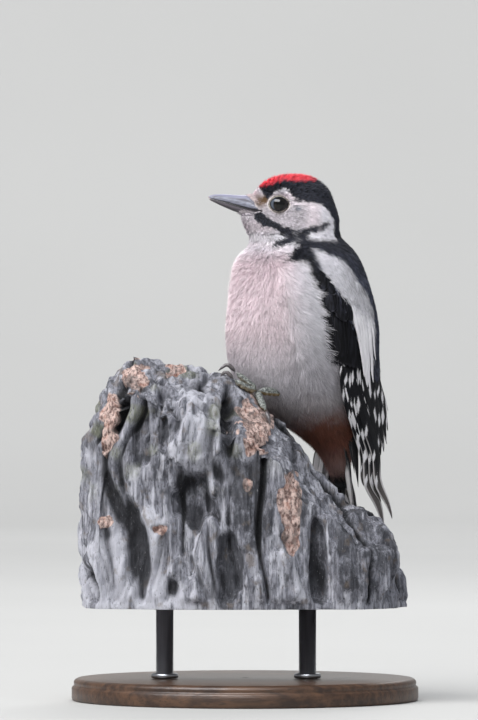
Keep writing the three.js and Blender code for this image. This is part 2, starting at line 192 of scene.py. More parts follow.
def net_faces(rows, columns, closed=False, flip=False):
    """Four-sided faces of a net of points, row by row. A closed net's columns join up."""
    row, column = np.meshgrid(np.arange(rows - 1), np.arange(columns - (not closed)), indexing="ij")
    nearer = row * columns
    beside = (column + 1) % columns
    faces = np.stack([nearer + column, nearer + beside, nearer + columns + beside,
                      nearer + columns + column], axis=-1).reshape(-1, 4)
    return faces[:, ::-1] if flip else faces


def joined(parts):
    """Several nets as one: points, faces and values."""
    points, faces, values, count = [], [], {}, 0
    for net, corners, numbers in parts:
        points.append(net.reshape(-1, 3))
        faces.append(corners + count)
        count += len(points[-1])
        for key, share in numbers.items():
            values.setdefault(key, []).append(np.broadcast_to(share, net.shape[:-1]).ravel())
    values = {key: np.concatenate(shares) for key, shares in values.items()}
    return np.concatenate(points), [np.concatenate(faces)], values


def read_all(items, key, width, kind=np.float32):
    """One property of all of a mesh's vertices, corners or faces, in rows of that width."""
    numbers = np.empty(len(items) * width, kind)
    items.foreach_get(key, numbers)
    return numbers.reshape(-1, width)


def node_mesh(name):
    """Points and triangles of a CAD node, in millimetres."""
    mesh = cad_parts[name].data
    mesh.calc_loop_triangles()
    points = read_all(mesh.vertices, "co", 3) / MM
    return points, read_all(mesh.loop_triangles, "vertices", 3, np.int32)


def node_box(name):
    """The low and the high corner of a CAD node's box, in metres."""
    return [np.array(corner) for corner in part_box(name)]


def node_tree(names):
    points, faces, _ = joined([(*node_mesh(name), {}) for name in names])
    return BVHTree.FromPolygons(points.tolist(), faces[0].tolist())


# ---- finishes ----

def rgb(red, green, blue):
    """A screen colour, 0 to 255, as the linear colour that a shader takes."""
    linear = [(c / 255 / 12.92) if c <= 10 else ((c / 255 + 0.055) / 1.055) ** 2.4
              for c in (red, green, blue)]
    return (*linear, 1.0)


class Value:
    """A number that varies over a surface. Arithmetic on it adds Math nodes."""

    def __init__(self, finish, socket):
        self.finish = finish
        self.socket = socket

    def math(self, operation, *others):
        inputs = dict(enumerate((self, *others)))
        made = self.finish.node("ShaderNodeMath", {"operation": operation}, inputs)
        return Value(self.finish, made.outputs[0])

    def __add__(self, other):
        return self.math("ADD", other)

    __radd__ = __add__

    def __sub__(self, other):
        return self.math("SUBTRACT", other)

    def __rsub__(self, other):
        return (self * -1).math("ADD", other)

    def __mul__(self, other):
        return self.math("MULTIPLY", other)

    __rmul__ = __mul__

    def __truediv__(self, other):
        return self.math("DIVIDE", other)

    def __abs__(self):
        return self.math("ABSOLUTE")

    def between(self, low, high):
        """0 below low, 1 above high, smooth between."""
        settings = {"interpolation_type": "SMOOTHSTEP"}
        inputs = {"Value": self, "From Min": low, "From Max": high}
        made = self.finish.node("ShaderNodeMapRange", settings, inputs)
        return Value(self.finish, made.outputs[0])


class Finish:
    """A procedural material, built node by node."""

    def __init__(self, name, roughness, gloss=0.5, metallic=0.0):
        self.material = bpy.data.materials.new(name)
        self.material.use_nodes = True
        self.tree = self.material.node_tree
        self.surface = next(n for n in self.tree.nodes if n.type == "BSDF_PRINCIPLED")
        plain = {"Roughness": roughness, "Specular IOR Level": gloss, "Metallic": metallic}
        for key, value in plain.items():
            self.surface.inputs[key].default_value = value

    def node(self, kind, settings=None, inputs=None):
        made = self.tree.nodes.new(kind)
        for key, value in (settings or {}).items():
            if key == "stops":
                ramp = made.color_ramp.elements
                while len(ramp) < len(value):
                    ramp.new(1.0)
                for element, (place, colour) in zip(ramp, value):
                    element.position = place
                    element.color = colour
            else:
                setattr(made, key, value)
        for key, value in (inputs or {}).items():
            socket = made.inputs[key]
            source = value.socket if isinstance(value, Value) else value
            if isinstance(source, bpy.types.NodeSocket):
                self.tree.links.new(source, socket)
            else:
                socket.default_value = source
        return made

    def attribute(self, name):
        made = self.node("ShaderNodeAttribute", {"attribute_name": name})
        return Value(self, made.outputs["Fac"])

    def attributes(self, *names):
        return [self.attribute(name) for name in names]

    def noise(self, lump, detail=2.0, stretch=(1.0, 1.0, 1.0), roughness=0.5):
        """Noise from 0 to 1 with lumps of that size in millimetres."""
        where = self.node("ShaderNodeTexCoord").outputs["Object"]
        place = self.node("ShaderNodeVectorMath", {"operation": "MULTIPLY"}, {0: where, 1: stretch})
        inputs = {"Vector": place.outputs[0], "Scale": 1 / (lump * MM), "Detail": detail,
                  "Roughness": roughness}
        return Value(self, self.node("ShaderNodeTexNoise", {}, inputs).outputs[0])

    def vector(self, x, y, z=0.0):
        return self.node("ShaderNodeCombineXYZ", {}, {0: x, 1: y, 2: z}).outputs[0]

    def mix(self, first, second, share, blend="MIX"):
        first, second = (rgb(*c) if isinstance(c, tuple) else c for c in (first, second))
        settings = {"data_type": "RGBA", "blend_type": blend}
        return self.node("ShaderNodeMix", settings, {0: share, 6: first, 7: second}).outputs[2]

    def layered(self, colour, *layers):
        """Colours laid one over another, each with its share of the surface."""
        for over, share in layers:
            colour = self.mix(colour, over, share)
        return colour

    def paint(self, colour, relief=None, depth=0.0):
        """The surface's colour, and fine relief of that depth in millimetres."""
        self.tree.links.new(colour, self.surface.inputs["Base Color"])
        if relief is not None:
            inputs = {"Height": relief, "Distance": depth * MM, "Strength": 1.0}
            bump = self.node("ShaderNodeBump", {}, inputs).outputs[0]
            self.tree.links.new(bump, self.surface.inputs["Normal"])
        return self


def plumage_finish(name, roughness, streak, sheen_share=0.0, uneven=0.22):
    """Feathers: the markings of each tuft, darker down in the coat (partly the grey down, partly painted
    shade between the barbs) and lighter at the tips.
    """
    finish = Finish(name, roughness, 0.3)
    dark, tip, shade, tone = finish.attributes("dark", "along", "shade", "tone")
    shares = {tint: finish.attribute(tint) for tint in TINTS}
    shares["red"] = shares["red"] * tip.between(0.1, 0.35)
    # The last layer is a painted sheen, blue-grey, over the tips of dark feathers.
    colour = finish.layered(PALETTE["white"], *((PALETTE[tint], shares[tint]) for tint in TINTS),
                            (SHEEN_TINT, dark * tip.between(0.3, 1.1) * sheen_share))
    # Painted shade: near the roots, where barbs and tufts shade one another, and wherever the coat's
    # shade value dims the belly, throat and vent.
    streak = streak * (0.35 + dark * 0.65) + shade * 0.5
    depth = (1 - (1 - tip.between(-0.2, 0.75)) * streak) * (1 - shade * 0.38)
    light = depth * (1 + tone * (uneven * (0.7 + dark * 0.3) + shade * 0.3))
    light = light * (0.9 + finish.noise(7.0) * 0.2)
    grey = finish.node("ShaderNodeCombineColor", {}, {0: light, 1: light, 2: light}).outputs[0]
    return finish.paint(finish.mix(colour, grey, 1.0, "MULTIPLY"))


# ---- camera ----

def make_camera():
    lens = bpy.data.cameras.new("camera")
    lens.sensor_width = 36.0
    lens.lens = CAMERA_LENS
    camera = place_in_scene("camera", lens)
    camera.location = CAMERA_AT
    camera.rotation_euler = (math.radians(90), 0, 0)
    bpy.context.scene.camera = camera


# ---- the skin ----

class Shell:
    """The outer form of some CAD nodes, as a net of points round an upright spine.

    Rows run downwards, columns run round from the breast over the left side.
    """

    def __init__(self, names, spine, top, bottom, columns=144, step=1.0, closed=True):
        self.spine, self.top, self.step, self.columns = along(spine), top, step, columns
        levels = np.arange(top, bottom, -step)
        dome, cap = (24, 10) if closed else (0, 0)
        self.first = dome
        heights = np.concatenate([np.full(dome, top), levels, np.full(cap, levels[-1])])
        rises = np.concatenate([np.linspace(90, 0, dome, endpoint=False), np.zeros(len(levels)),
                                np.linspace(0, -90, cap + 1)[1:]])
        self.angles = np.arange(columns) * 360 / columns
        directions = body_direction(self.angles[None, :], rises[:, None])
        middles = BODY_AT + AHEAD * self.spine(heights)[:, None] + UP * heights[:, None]
        middles = np.repeat(middles[:, None, :], columns, axis=1)
        radius = self.reach(node_tree(names), middles, directions)
        radius = self.fill(radius)
        soft = smooth_net(radius, 5, 8)
        fine = smooth_net(radius, 3, 4)
        share = ease(213, 205, heights)[:, None] if closed else 0.0
        radius = mixed(fine, soft, share)
        if closed:
            radius[0] = radius[1].mean()
        self.points = middles + directions * radius[..., None]
        self.normals = self.net_normals(directions)
        if closed:
            self.normals[0] = UP

    @staticmethod
    def reach(tree, middles, directions):
        radius = np.full(middles.shape[:2], np.nan)
        far = 120.0
        starts = (middles + directions * far).reshape(-1, 3).tolist()
        ways = (-directions).reshape(-1, 3).tolist()
        for i, (start, way) in enumerate(zip(starts, ways)):
            hit = tree.ray_cast(start, way, far)
            if hit[0] is not None:
                radius.flat[i] = far - hit[3]
        return radius

    @staticmethod
    def fill(radius):
        """Missing points take the value between their neighbours round the row."""
        columns = radius.shape[1]
        place = np.arange(columns)
        for i, row in enumerate(radius):
            known = ~np.isnan(row)
            if known.any():
                radius[i] = np.interp(place, place[known], row[known], period=columns)
        known = ~np.isnan(radius[:, 0])
        rows = np.arange(len(radius))
        for column in range(columns):
            radius[:, column] = np.interp(rows, rows[known], radius[known, column])
        return radius

    def net_normals(self, directions):
        down = np.gradient(self.points, axis=0)
        across = np.roll(self.points, -1, 1) - np.roll(self.points, 1, 1)
        normals = np.cross(down, across)
        size = np.linalg.norm(normals, axis=-1, keepdims=True)
        normals = np.where(size > 1e-3, normals / np.maximum(size, 1e-9), directions)
        facing = np.sum(normals * directions, axis=-1, keepdims=True)
        return unit(np.where(facing < 0, -normals, normals))

    def read(self, net, height, angle):
        row = np.clip(self.first + (self.top - height) / self.step, 0, len(net) - 1.001)
        column = (angle / 360 * self.columns) % self.columns
        r, c = row.astype(int), column.astype(int)
        t, s = (row - r)[..., None], (column - c)[..., None]
        beside = (c + 1) % self.columns
        upper = mixed(net[r, c], net[r, beside], s)
        lower = mixed(net[r + 1, c], net[r + 1, beside], s)
        return mixed(upper, lower, t)

    def place(self, height, angle, lift=0.0):
        """A point at a height and level angle, lifted off the form, and the way out there."""
        out = unit(self.read(self.normals, height, angle))
        return self.read(self.points, height, angle) + out * np.asarray(lift)[..., None], out


def smooth_net(net, across, down):
    for _ in range(across):
        net = (np.roll(net, 1, 1) + 2 * net + np.roll(net, -1, 1)) / 4
    for _ in range(down):
        padded = np.pad(net, ((1, 1), (0, 0)), mode="edge")
        net = (padded[:-2] + 2 * net + padded[2:]) / 4
    return net


# How far ahead of the upright line the middle of the body is, at each height.
SPINE = [(76, -29.6), (88, -25), (97, -19), (110, -17.5), (122, -12), (131, -7), (140, -3),
         (152, -1), (165, 0), (190, 1.3), (205, 3.2), (212, 5), (237, 5.7)]
spine_at = along(SPINE)


def in_body(points):
    """Height and level angle of points on the body."""
    from_axis = points - BODY_AT
    ahead = from_axis @ AHEAD - spine_at(points[..., 2])
    return points[..., 2], np.degrees(np.arctan2(from_axis @ LEFTWARD, ahead))


def head_middle():
    """The middle of the head, found from the eyes."""
    boxes = [node_box(f"eye_{name}") for name in SIDES]
    middle = sum((low + high) / 4 for low, high in boxes) / MM
    return middle + np.array([EYE_AT[0], 0, -EYE_AT[1]])


HEAD_AT = head_middle()
EYE_OUT = abs(sum(node_box("eye_left"))[1] / 2 / MM - HEAD_AT[1])


def in_head(points):
    """Points in the head's frame: ahead along the bill, to the left, and up."""
    off = points - HEAD_AT
    return -off[..., 0], -off[..., 1], off[..., 2]


def from_head(points):
    points = np.asarray(points, float)
    return HEAD_AT + np.stack([-points[..., 0], -points[..., 1], points[..., 2]], axis=-1)


# Place along the bill, culmen, mouth line, lower edge, half width.
BILL = along([(38.25, 5.1, 4.75, 4.4, 0.25), (37.9, 5.5, 4.7, 4.1, 0.8), (36.6, 6.1, 4.3, 3.4, 1.3),
              (33, 6.5, 3.4, 1.6, 1.95), (29.2, 6.4, 2.4, -0.1, 2.6), (26, 6.2, 1.45, -1.4, 3.15),
              (22, 6.1, 0.3, -2.3, 4.0), (19, 6.1, -0.5, -2.6, 5.0), (17, 6.1, -0.9, -2.8, 6.0),
              (15, 5.8, -1.3, -2.9, 7.1), (13.5, 5.6, -1.6, -2.9, 7.8)])

# The bill's halves: tip, gap to the mouth line, share of the width, and shape of the arch.
HORNS = {"upper": {"tip": 38.25, "gap": 0.08, "wide": 1.0, "arch": 1.15},
         "lower": {"tip": 37.6, "gap": -0.08, "wide": 0.9, "arch": 0.9}}
BILL_ROOT = 13.5
BILL_ROUND = 0.75  # 1 is a round section, less is boxier


def bill_at(x):
    """Culmen, mouth line, lower edge and half width at places along the bill."""
    return np.moveaxis(BILL(x), -1, 0)


def bill_half(x, z):
    """Half the bill's width at a place along it and a height."""
    culmen, mouth, keel, half = bill_at(x)
    above = z > mouth
    pick = lambda key: np.where(above, HORNS["upper"][key], HORNS["lower"][key])
    lift = np.clip((z - mouth) / np.where(above, culmen - mouth, keel - mouth), 0, 1)
    rise = lift ** (1 / pick("arch"))
    return half * pick("wide") * (1 - np.clip(rise, 0, 1) ** 2) ** (BILL_ROUND / 2)


def off_the_bill(x, z):
    """How far behind the slanting edge of the bill's root, from culmen to gape."""
    edge = np.interp(z, [-2.4, -1.6, -1.0, 0.6, 2.7, 6.1], [17.5, 13.6, 14.6, 16.2, 17.6, 20.2])
    return edge - x


class Skin:
    """The skin under the coat: the flesh's outer form, drawn in by the coat's depth."""

    def __init__(self, names, depth_at):
        self.shell = Shell(names, SPINE, CROWN, SKIN_LOW)
        outer, out = self.shell.points, self.shell.normals
        self.rows, self.columns = outer.shape[:2]
        self.depth = depth_at(outer)
        self.points = self.clear_bill(outer - out * self.depth[..., None])
        flat = self.points.reshape(-1, 3)
        self.faces = net_faces(self.rows, self.columns, closed=True)
        self.corners = flat[self.faces]
        self.out = unit(out.reshape(-1, 3)[self.faces].mean(axis=1))
        self.face_depth = self.depth.reshape(-1)[self.faces].mean(axis=1)
        self.middle = self.corners.mean(axis=1)
        edges = self.corners[:, 1:] - self.corners[:, :1]
        halves = np.cross(edges[:, :2], edges[:, 1:])
        self.area = np.linalg.norm(halves, axis=2).sum(axis=1) / 2
        self.tree = BVHTree.FromPolygons(flat.tolist(), self.faces.tolist())

    @staticmethod
    def clear_bill(points):
        """Draws the face in under the bill's root, so that the horn shows there."""
        x, y, z = in_head(points)
        on_bill = ease(0.3, -0.3, off_the_bill(x, z)) * ease(-2.9, -2.3, z) * ease(6.4, 5.8, z)
        inside = np.maximum(bill_half(x, z) - 0.5, 0.3)
        drawn = np.sign(y) * np.minimum(np.abs(y), inside)
        return from_head(np.stack([x, mixed(y, drawn, on_bill), z], axis=-1))

    def scatter(self, density, seed):
        """Roots spread over the skin, so many to the square millimetre: places and faces."""
        rng = np.random.default_rng(seed)
        total = np.cumsum(self.area * density(self.middle))
        count = int(total[-1])
        picks = (np.arange(count) + rng.random(count)) * total[-1] / count
        face = np.searchsorted(total, picks).clip(0, len(total) - 1)
        s, t = rng.random((2, count, 1))
        a, b, c, d = np.moveaxis(self.corners[face], 1, 0)
        places = mixed(mixed(a, b, s), mixed(d, c, s), t)
        column = (face % self.columns + s[:, 0]) / self.columns
        row = (face // self.columns + t[:, 0]) / self.rows
        return places, face, np.stack([column, row], axis=-1)

    def nearest(self, points):
        spots, faces = np.empty_like(points), np.empty(len(points), int)
        for i, point in enumerate(points.tolist()):
            spot, _, face, _ = self.tree.find_nearest(point)
            spots[i] = spot
            faces[i] = face
        return spots, faces


def coat_depth(points):
    """How far the feathers stand over the skin."""
    x, _, z = in_head(points)
    height, angle = in_body(points)
    face = np.hypot(x - 16, z + 1)
    on_head = mixed(0.5, 1.2, ease(2, 16, face))
    behind = ease(70, 95, np.abs(angle))
    on_body = mixed(2.4, 1.3, behind)
    return mixed(on_body, on_head, ease(203, 213, height))


# ---- markings ----
# On the head they follow its side view, x ahead and z up from the middle of the head. On the
# body they follow the height over the floor and the level angle.

RED_BELOW = along([(16.2, 9.4), (13.6, 9.4), (8.9, 10.1), (5, 11.6), (-2.6, 10.9), (-9, 11.3)])
BLACK_BELOW = along([(14.6, 9.4), (12.9, 6.1), (11.4, 4.2), (10.3, 5.2), (8.3, 7.1), (5.6, 8.3),
                     (3, 8.5), (1, 6.8), (-0.6, 4.8), (-2.9, 3.5), (-6.9, 2.2), (-13.2, 0.9),
                     (-14.8, -0.8), (-16.5, -3.1), (-17.8, -6.4), (-19.5, -8), (-21, -12)])
MOUSTACHE = [(17, -2.2, 0.6), (15, -4.2, 2.1), (12, -6.3, 2.5), (9, -7.9, 1.8), (6.3, -9.4, 1.6),
             (2.8, -11.4, 2.0), (-0.6, -12.8, 2.6), (-4, -13.4, 2.3)]
NECK_STRIPE = [(-4, -12.4, 2.6), (-7, -10.8, 2.1), (-12.7, -8.4, 1.9), (-15.4, -7.2, 1.0)]
BREAST_TONGUE = [(1.4, -14.8, 2.0), (4, -15.7, 1.4), (7, -17, 0.9), (9.8, -18.8, 0.35)]
SHOULDER_STRIPE = [(-1.6, -14.8, 2.0), (-5, -16.4, 1.7), (-9, -17.6, 2.0), (-12, -20, 2.6)]
EYE_STRIPE = [(3.0, 3.2, 0.3), (-0.6, 3.2, 0.3), (-3.6, 3.0, 0.4)]
SHOULDER_TIP = [(-7, -19.8, 3.5), (-2.6, -22.4, 2.5), (2.0, -24.4, 0.7)]
# The dark bands under the eye: path, how ragged, how strong, how much broken up by pale flecks.
BANDS = ((MOUSTACHE, 1.7, 1.0, 0.35), (NECK_STRIPE, 1.8, 1.0, 0.3), (BREAST_TONGUE, 1.0, 1.0, 0.0),
         (SHOULDER_STRIPE, 1.4, 1.0, 0.3), (EYE_STRIPE, 0.3, 0.7, 0.0))
# By height: how much painted shade dims the belly, then the level angles of the wing's edge and the white
# patch.
BELLY_SHADE = along([(184, 0.0), (173, 0.34), (166, 0.48), (150, 0.66), (138, 0.8), (96, 0.8)])
WING_FRONT = along([(206, 60), (199, 62), (197, 64), (192, 71), (183, 75), (177, 79), (171, 83),
                    (160, 86), (147, 90), (135, 92), (110, 97)])
PATCH_REAR = along([(203, 70), (201, 84), (200, 92), (198.5, 100), (196, 109), (191.6, 116),
                    (187, 122), (183, 128), (177.7, 134), (160, 133), (140, 124)])
PATCH_FRONT = along([(201.5, 72), (196.6, 75), (192.2, 79), (187.8, 84), (184.3, 88), (180.8, 91),
                     (177.7, 96), (172, 102), (167, 107), (159.7, 110), (140, 114)])


def stroke(x, z, path):
    """How far inside a band of varying half width a point is, in millimetres."""
    inside = np.full(x.shape, -99.0)
    for (x0, z0, w0), (x1, z1, w1) in zip(path, path[1:]):
        span = (x1 - x0) ** 2 + (z1 - z0) ** 2
        t = np.clip(((x - x0) * (x1 - x0) + (z - z0) * (z1 - z0)) / span, 0, 1)
        off = np.hypot(x - mixed(x0, x1, t), z - mixed(z0, z1, t))
        inside = np.maximum(inside, mixed(w0, w1, t) - off)
    return inside


def wing_cover(height):
    """How far loose feathers hide the wing's edge, 0 to 1, and how many degrees the thigh does."""
    return ease(195, 186, height) * ease(138, 150, height), ease(156, 150, height) * 13


def blob(x, z, at, size):
    """1 in the middle of a soft round patch of the face, falling off with distance."""
    return np.exp(-(((x - at[0]) / size[0]) ** 2 + ((z - at[1]) / size[1]) ** 2))


def markings(points, soft=0.35):
    """Shares of each colour at points on the skin or coat."""
    x, y, z = in_head(points)
    height, signed = in_body(points)
    angle = np.abs(signed)
    fray = noise(points, 1.3, 3) * 0.6 + noise(points, 4.5, 4) * 0.35
    edge = lambda inside: ease(-soft, soft, inside)
    head = ease(202.5, 204, height)

    red = edge(z - RED_BELOW(x) + fray * 1.1) * edge(x + 9.6 + fray * 3) * edge(16.4 - x)
    cap = edge(z - BLACK_BELOW(x) + fray * 0.5) * edge(15.4 - x)
    nape = edge(6.0 + (-8 - z) * 0.25 - np.abs(y)) * edge(-12 - x) * edge(-4 - z)
    flecks = 0.9 * ease(0.1, 0.4, noise(points * [1, 1, 1.6], 1.5, 8)) * ease(9, 2, x)
    beard = np.maximum.reduce([edge(stroke(x, z, path) + fray * ragged) * strong * (1 - flecks * broken)
                               for path, ragged, strong, broken in BANDS])
    beard = beard * edge(np.abs(y) - 4.5)
    shoulder = edge(stroke(x, z, SHOULDER_TIP) + fray * 1.4) * edge(np.abs(y) - 6)

    loose, tucked = wing_cover(height)
    front = angle - WING_FRONT(height) + 10 * loose - tucked + fray * 2.2
    folded = ease(-1.5, 1.5, front) * ease(207.5, 205, height + fray)
    low = angle - PATCH_FRONT(height) + fray * 3
    rear = PATCH_REAR(height) - angle + fray * 3
    patch = ease(-1.8, 1.8, low) * ease(-1.8, 1.8, rear)
    patch = patch * ease(202.5, 200.5, height) * ease(134, 140, height)
    under_tail = ease(133, 123, height + fray * 5 - (angle - 60) * 0.05) * ease(132, 118, angle)
    folded = np.maximum(folded, shoulder) * (1 - patch) * (1 - under_tail)
    vent = under_tail * ease(105, 100, height + fray * 2)
    dark = np.maximum.reduce([cap, nape * head, beard * head, folded, vent])

    lores = np.maximum(0.8 * blob(x, z, (14.6, 3.0), (2.8, 2.5)), blob(x, z, (12.5, 3.8), (1.5, 1.9)))
    forehead = ease(13.5, 16.5, x) * ease(2, 6, z)
    ear = blob(x, z, (-2.4, -0.3), (1.7, 1.1))
    cheek = head * ease(-14, -10, x) * ease(-13, -9, z) * ease(9, 5, z)
    belly = ease(168, 140, height) * (1 - under_tail)
    breast = ease(207, 194, height) * ease(72, 35, angle) * (1 - belly)
    # The sides of the breast are painted a little greyer: painted shade where they turn from the light.
    side_breast = ease(205, 190, height) * ease(40, 60, angle) * ease(140, 160, height)
    chin = head * ease(-2, -9, z) * ease(4, 12, x)
    # Browner towards the bottom of the belly: partly its own brown tint, partly painted shade.
    low_brown_and_shade = ease(142, 128, height) * (1 - under_tail)
    throat = head * ease(4, -3, z) * ease(-9, -4, x) * ease(-19, -13, z)
    # Painted shade over the lower breast and belly, deeper towards the sides.
    under = BELLY_SHADE(height - 0.3 * (angle - 45)) * (1 - under_tail)
    # Painted shade over the vent, strongest higher up and less towards its lower tip.
    vent_shade = under_tail * mixed(0.25, 1.0, ease(106, 122, height))
    shares = {
        "buff": 0.85 * breast + 0.3 * belly + 0.3 * chin + 0.45 * cheek + 0.5 * forehead,
        "grey": 0.35 * belly + 0.7 * ear + 0.05 + 0.3 * throat + 0.2 * side_breast,
        "brown": 1.4 * lores + 0.45 * low_brown_and_shade,
        # shade is painted shade, not a colour: over the dim belly, the rough throat and the vent.
        "shade": under + 0.35 * throat + vent_shade,
        "rust": under_tail * mixed(0.78, 1.0, ease(103, 118, height)),
        "red": red,
        "dark": dark,
    }
    return {key: np.clip(share, 0, 1) for key, share in shares.items()}


def lie(points):
    """The way the feathers lie, before they are laid on the skin."""
    x, _, z = in_head(points)
    height, angle = in_body(points)
    from_bill = points - from_head([21.0, 0, 0.5])
    on_head = unit(from_bill) + np.array([0.35, 0, -0.25])
    on_head[..., 2] -= 0.9 * ease(-2, -14, x) + 0.8 * ease(-6, -16, z)
    side = np.sign(angle)
    near_wing = np.exp(-((np.abs(angle) - WING_FRONT(height) + 8) / 24) ** 2)
    radians = np.radians(angle)[..., None]
    turn = unit(LEFTWARD * np.cos(radians) - AHEAD * np.sin(radians))
    sweep = side * (0.12 + 1.0 * near_wing * ease(140, 175, height) + 0.3 * near_wing)
    middle_line = ease(4, 25, np.abs(angle))
    on_body = -UP + turn * (sweep * middle_line)[..., None]
    return unit(mixed(unit(on_body), unit(on_head), ease(200, 211, height)[..., None]))


# ---- tufts ----

PATCH_SIZE = 0.0015  # half a barb's part of the unwrapped square
SHAFT_SHARE = 0.62  # how much of a tuft's length its barbs spring from
BARB = ((0.0, 0.75), (0.5, 1.0), (1.0, 0.0))  # how far along a barb, and how wide it is there


def tufts(skin, density, length, width, barbs, fan, seed, lift, keep=None, curl=0.0, plain=False,
          wild=0.12):
    """Soft feathers over the skin: each is a fan of thin tapering barbs along a short shaft.

    density, length and lift are functions of the place. Returns points, faces, values and patches.
    """
    rng = np.random.default_rng(seed)
    roots, faces, spread = skin.scatter(density, seed)
    if keep is not None:
        chosen = keep(roots)
        roots, faces, spread = roots[chosen], faces[chosen], spread[chosen]
    count = len(roots)
    reach = length(roots) * rng.uniform(0.8, 1.15, count)
    stations, outs, ways = [roots], [skin.out[faces]], []
    depth = skin.face_depth[faces] * lift(roots)
    stray = rng.normal(0, wild, count)[:, None]
    for _ in range(2):
        out, here = outs[-1], stations[-1]
        way = lie(here)
        way = unit(way - out * np.sum(way * out, axis=-1, keepdims=True))
        way = unit(way + np.cross(out, way) * stray)
        ways.append(way)
        there, face = skin.nearest(here + way * (reach / 2)[:, None])
        stations.append(there)
        outs.append(skin.out[face])
    ways.append(ways[-1])
    middle, tip = stations[1], stations[2]

    side_of = lambda k: unit(np.cross(outs[k], ways[k]))
    along_shaft = np.linspace(0.0, SHAFT_SHARE, barbs)
    turn = np.where(np.arange(barbs) % 2 == 0, 1.0, -1.0) * np.linspace(1.0, 0.35, barbs)
    angle = np.radians(fan) * (turn + rng.normal(0, 0.22, (count, barbs)))
    size = reach[:, None] * (1 - along_shaft * 0.9) * rng.uniform(0.75, 1.05, (count, barbs))
    start = along_shaft * rng.uniform(0.85, 1.0, (count, barbs)) * reach[:, None]
    roll = rng.normal(0, 0.45, (count, barbs, 1))
    rise = rng.uniform(0.35, 1.0, (count, barbs)) * depth[:, None]

    points, tips = [], []
    for t, taper in BARB:
        forth = (start + size * t * np.cos(angle)) / reach[:, None]
        off = size * np.sin(angle) * (t - curl * t * t)
        q = np.clip(forth, 0, 1.15)[..., None]
        centre = ((2 * q * q - 3 * q + 1) * roots[:, None] + (4 * q - 4 * q * q) * middle[:, None]
                  + (2 * q * q - q) * tip[:, None])
        out = unit(mixed(outs[0][:, None], outs[2][:, None], q))
        side = unit(mixed(side_of(0)[:, None], side_of(2)[:, None], q))
        way = unit(mixed(ways[0][:, None], ways[2][:, None], q))
        stand = mixed(-0.3, rise, t ** 0.7)[..., None]
        spot = centre + side * off[..., None] + out * stand
        flat = side * np.cos(angle)[..., None] - way * np.sin(angle)[..., None]
        flat = flat * np.cos(roll) + out * np.sin(roll)
        half = flat * (width * taper / 2)
        points += [spot - half, spot + half] if taper else [spot]
        tips += [forth] * (2 if taper else 1)
    points = np.stack(points, axis=2)
    tips = np.stack(tips, axis=2)
    first = (np.arange(count * barbs) * 5)[:, None]
    quads = first + np.array([0, 1, 3, 2])
    ends = first + np.array([2, 3, 4])

    marked = markings(mixed(middle, tip, 0.35))
    if plain:
        marked["dark"] = 0 * marked["dark"]
    values = {key: share[:, None, None] for key, share in marked.items()}
    values["along"] = tips
    tone = rng.normal(0, 0.45, count)[:, None] + rng.normal(0, 0.3, (count, barbs))
    values["tone"] = np.clip(tone, -1, 1)[..., None]
    corner = np.stack([turn[:, None] * tips, tips * 2 - 1], axis=-1)
    return points, [quads, ends], values, spread[:, None, None, :] + PATCH_SIZE * corner


def coat_piece(name, finish, slot, **how):
    points, faces, values, patch = tufts(**how)
    make_piece(name, points, faces, finish, (), values, patch)


# ---- vanes ----

def vane_net(middle, out, way, outer, inner, thick, columns=9, cup=0.22, shaft=0.1):
    """Flat feathers as thin closed nets, from rows of middle points with the way out and down.

    outer and inner are the half widths of the two webs at each row. Returns the points,
    feather by feather, and the share across each vane, -1 at the outer web's edge.
    """
    side = np.cross(out, way)
    across = np.linspace(-1, 1, columns)
    width = np.where(across < 0, outer[..., None], inner[..., None])
    off = (across * width)[..., None]
    fall = cup * np.abs(across) ** 2 * width - shaft * np.exp(-(across / 0.12) ** 2)
    top = middle[..., None, :] + side[..., None, :] * off - out[..., None, :] * fall[..., None]
    inside = slice(1, columns - 1)
    body = thick * np.sqrt(1 - across[inside] ** 2)[:, None]
    under = top[..., inside, :] - out[..., None, :] * body
    ring = np.concatenate([top, under[..., ::-1, :]], axis=-2)
    return ring, np.concatenate([across, across[inside][::-1]])


def ring_faces(count, rows, ring):
    """Faces of closed tubes with flat ends, one after another."""
    one = net_faces(rows, ring, closed=True)
    half = ring // 2
    ends = []
    for row, flip in ((0, True), (rows - 1, False)):
        a = np.arange(half)
        end = np.stack([row * ring + a, row * ring + a + 1,
                        row * ring + (ring - 1 - a), row * ring + (ring - a) % ring], axis=-1)
        ends.append(end[:, ::-1] if flip else end)
    one = np.concatenate([one, *ends])
    starts = np.arange(count) * rows * ring
    return (one[None] + starts[:, None, None]).reshape(-1, 4)


def laid_vanes(shell, side, feathers, rows=34, rounded=5.0, thick=0.16, seed=0, fray=0.0, cup=0.22):
    """Long feathers over the folded wing.

    Each feather is: root and tip height, root and tip angle, half widths of the outer and the
    inner web, and how far root and tip stand off the wing's form.
    """
    rng = np.random.default_rng(seed)
    table = np.array(feathers, float)
    t = np.linspace(0, 1, rows)
    read = lambda first, second: mixed(table[:, first, None], table[:, second, None], t)
    height, angle, lift = read(0, 1), read(2, 3), read(6, 7)
    middle, out = shell.place(height, angle * side, lift)
    way = unit(np.gradient(middle, axis=1))
    out = unit(out - way * np.sum(out * way, axis=-1, keepdims=True))
    web = mixed(0.6, 1.0, ease(0, 0.35, t)) * (1 - t ** rounded * 0.985) ** 0.6
    jag = 1 + fray * rng.normal(0, 1, (len(table), rows)) * ease(0.3, 0.6, t)
    outer, inner = table[:, 4, None] * web * jag, table[:, 5, None] * web * jag[:, ::-1]
    if side < 0:
        outer, inner = inner, outer
    net, across = vane_net(middle, out, way, outer, inner, thick, cup=cup)
    values = {"across": across * side, "along": t[:, None], "drop": height[..., None],
              "round": angle[..., None], "tone": rng.uniform(-1, 1, len(table))[:, None, None]}
    return net, ring_faces(len(table), rows, net.shape[2]), values


def make_feathers(name, parts, finish, replaced=()):
    points, faces, values = joined(parts)
    make_piece(name, points, faces, finish, replaced, values)


def fan(count, first, last):
    """Rows of a feather table, worked out evenly between the first and the last feather."""
    return np.linspace(first, last, count).tolist()


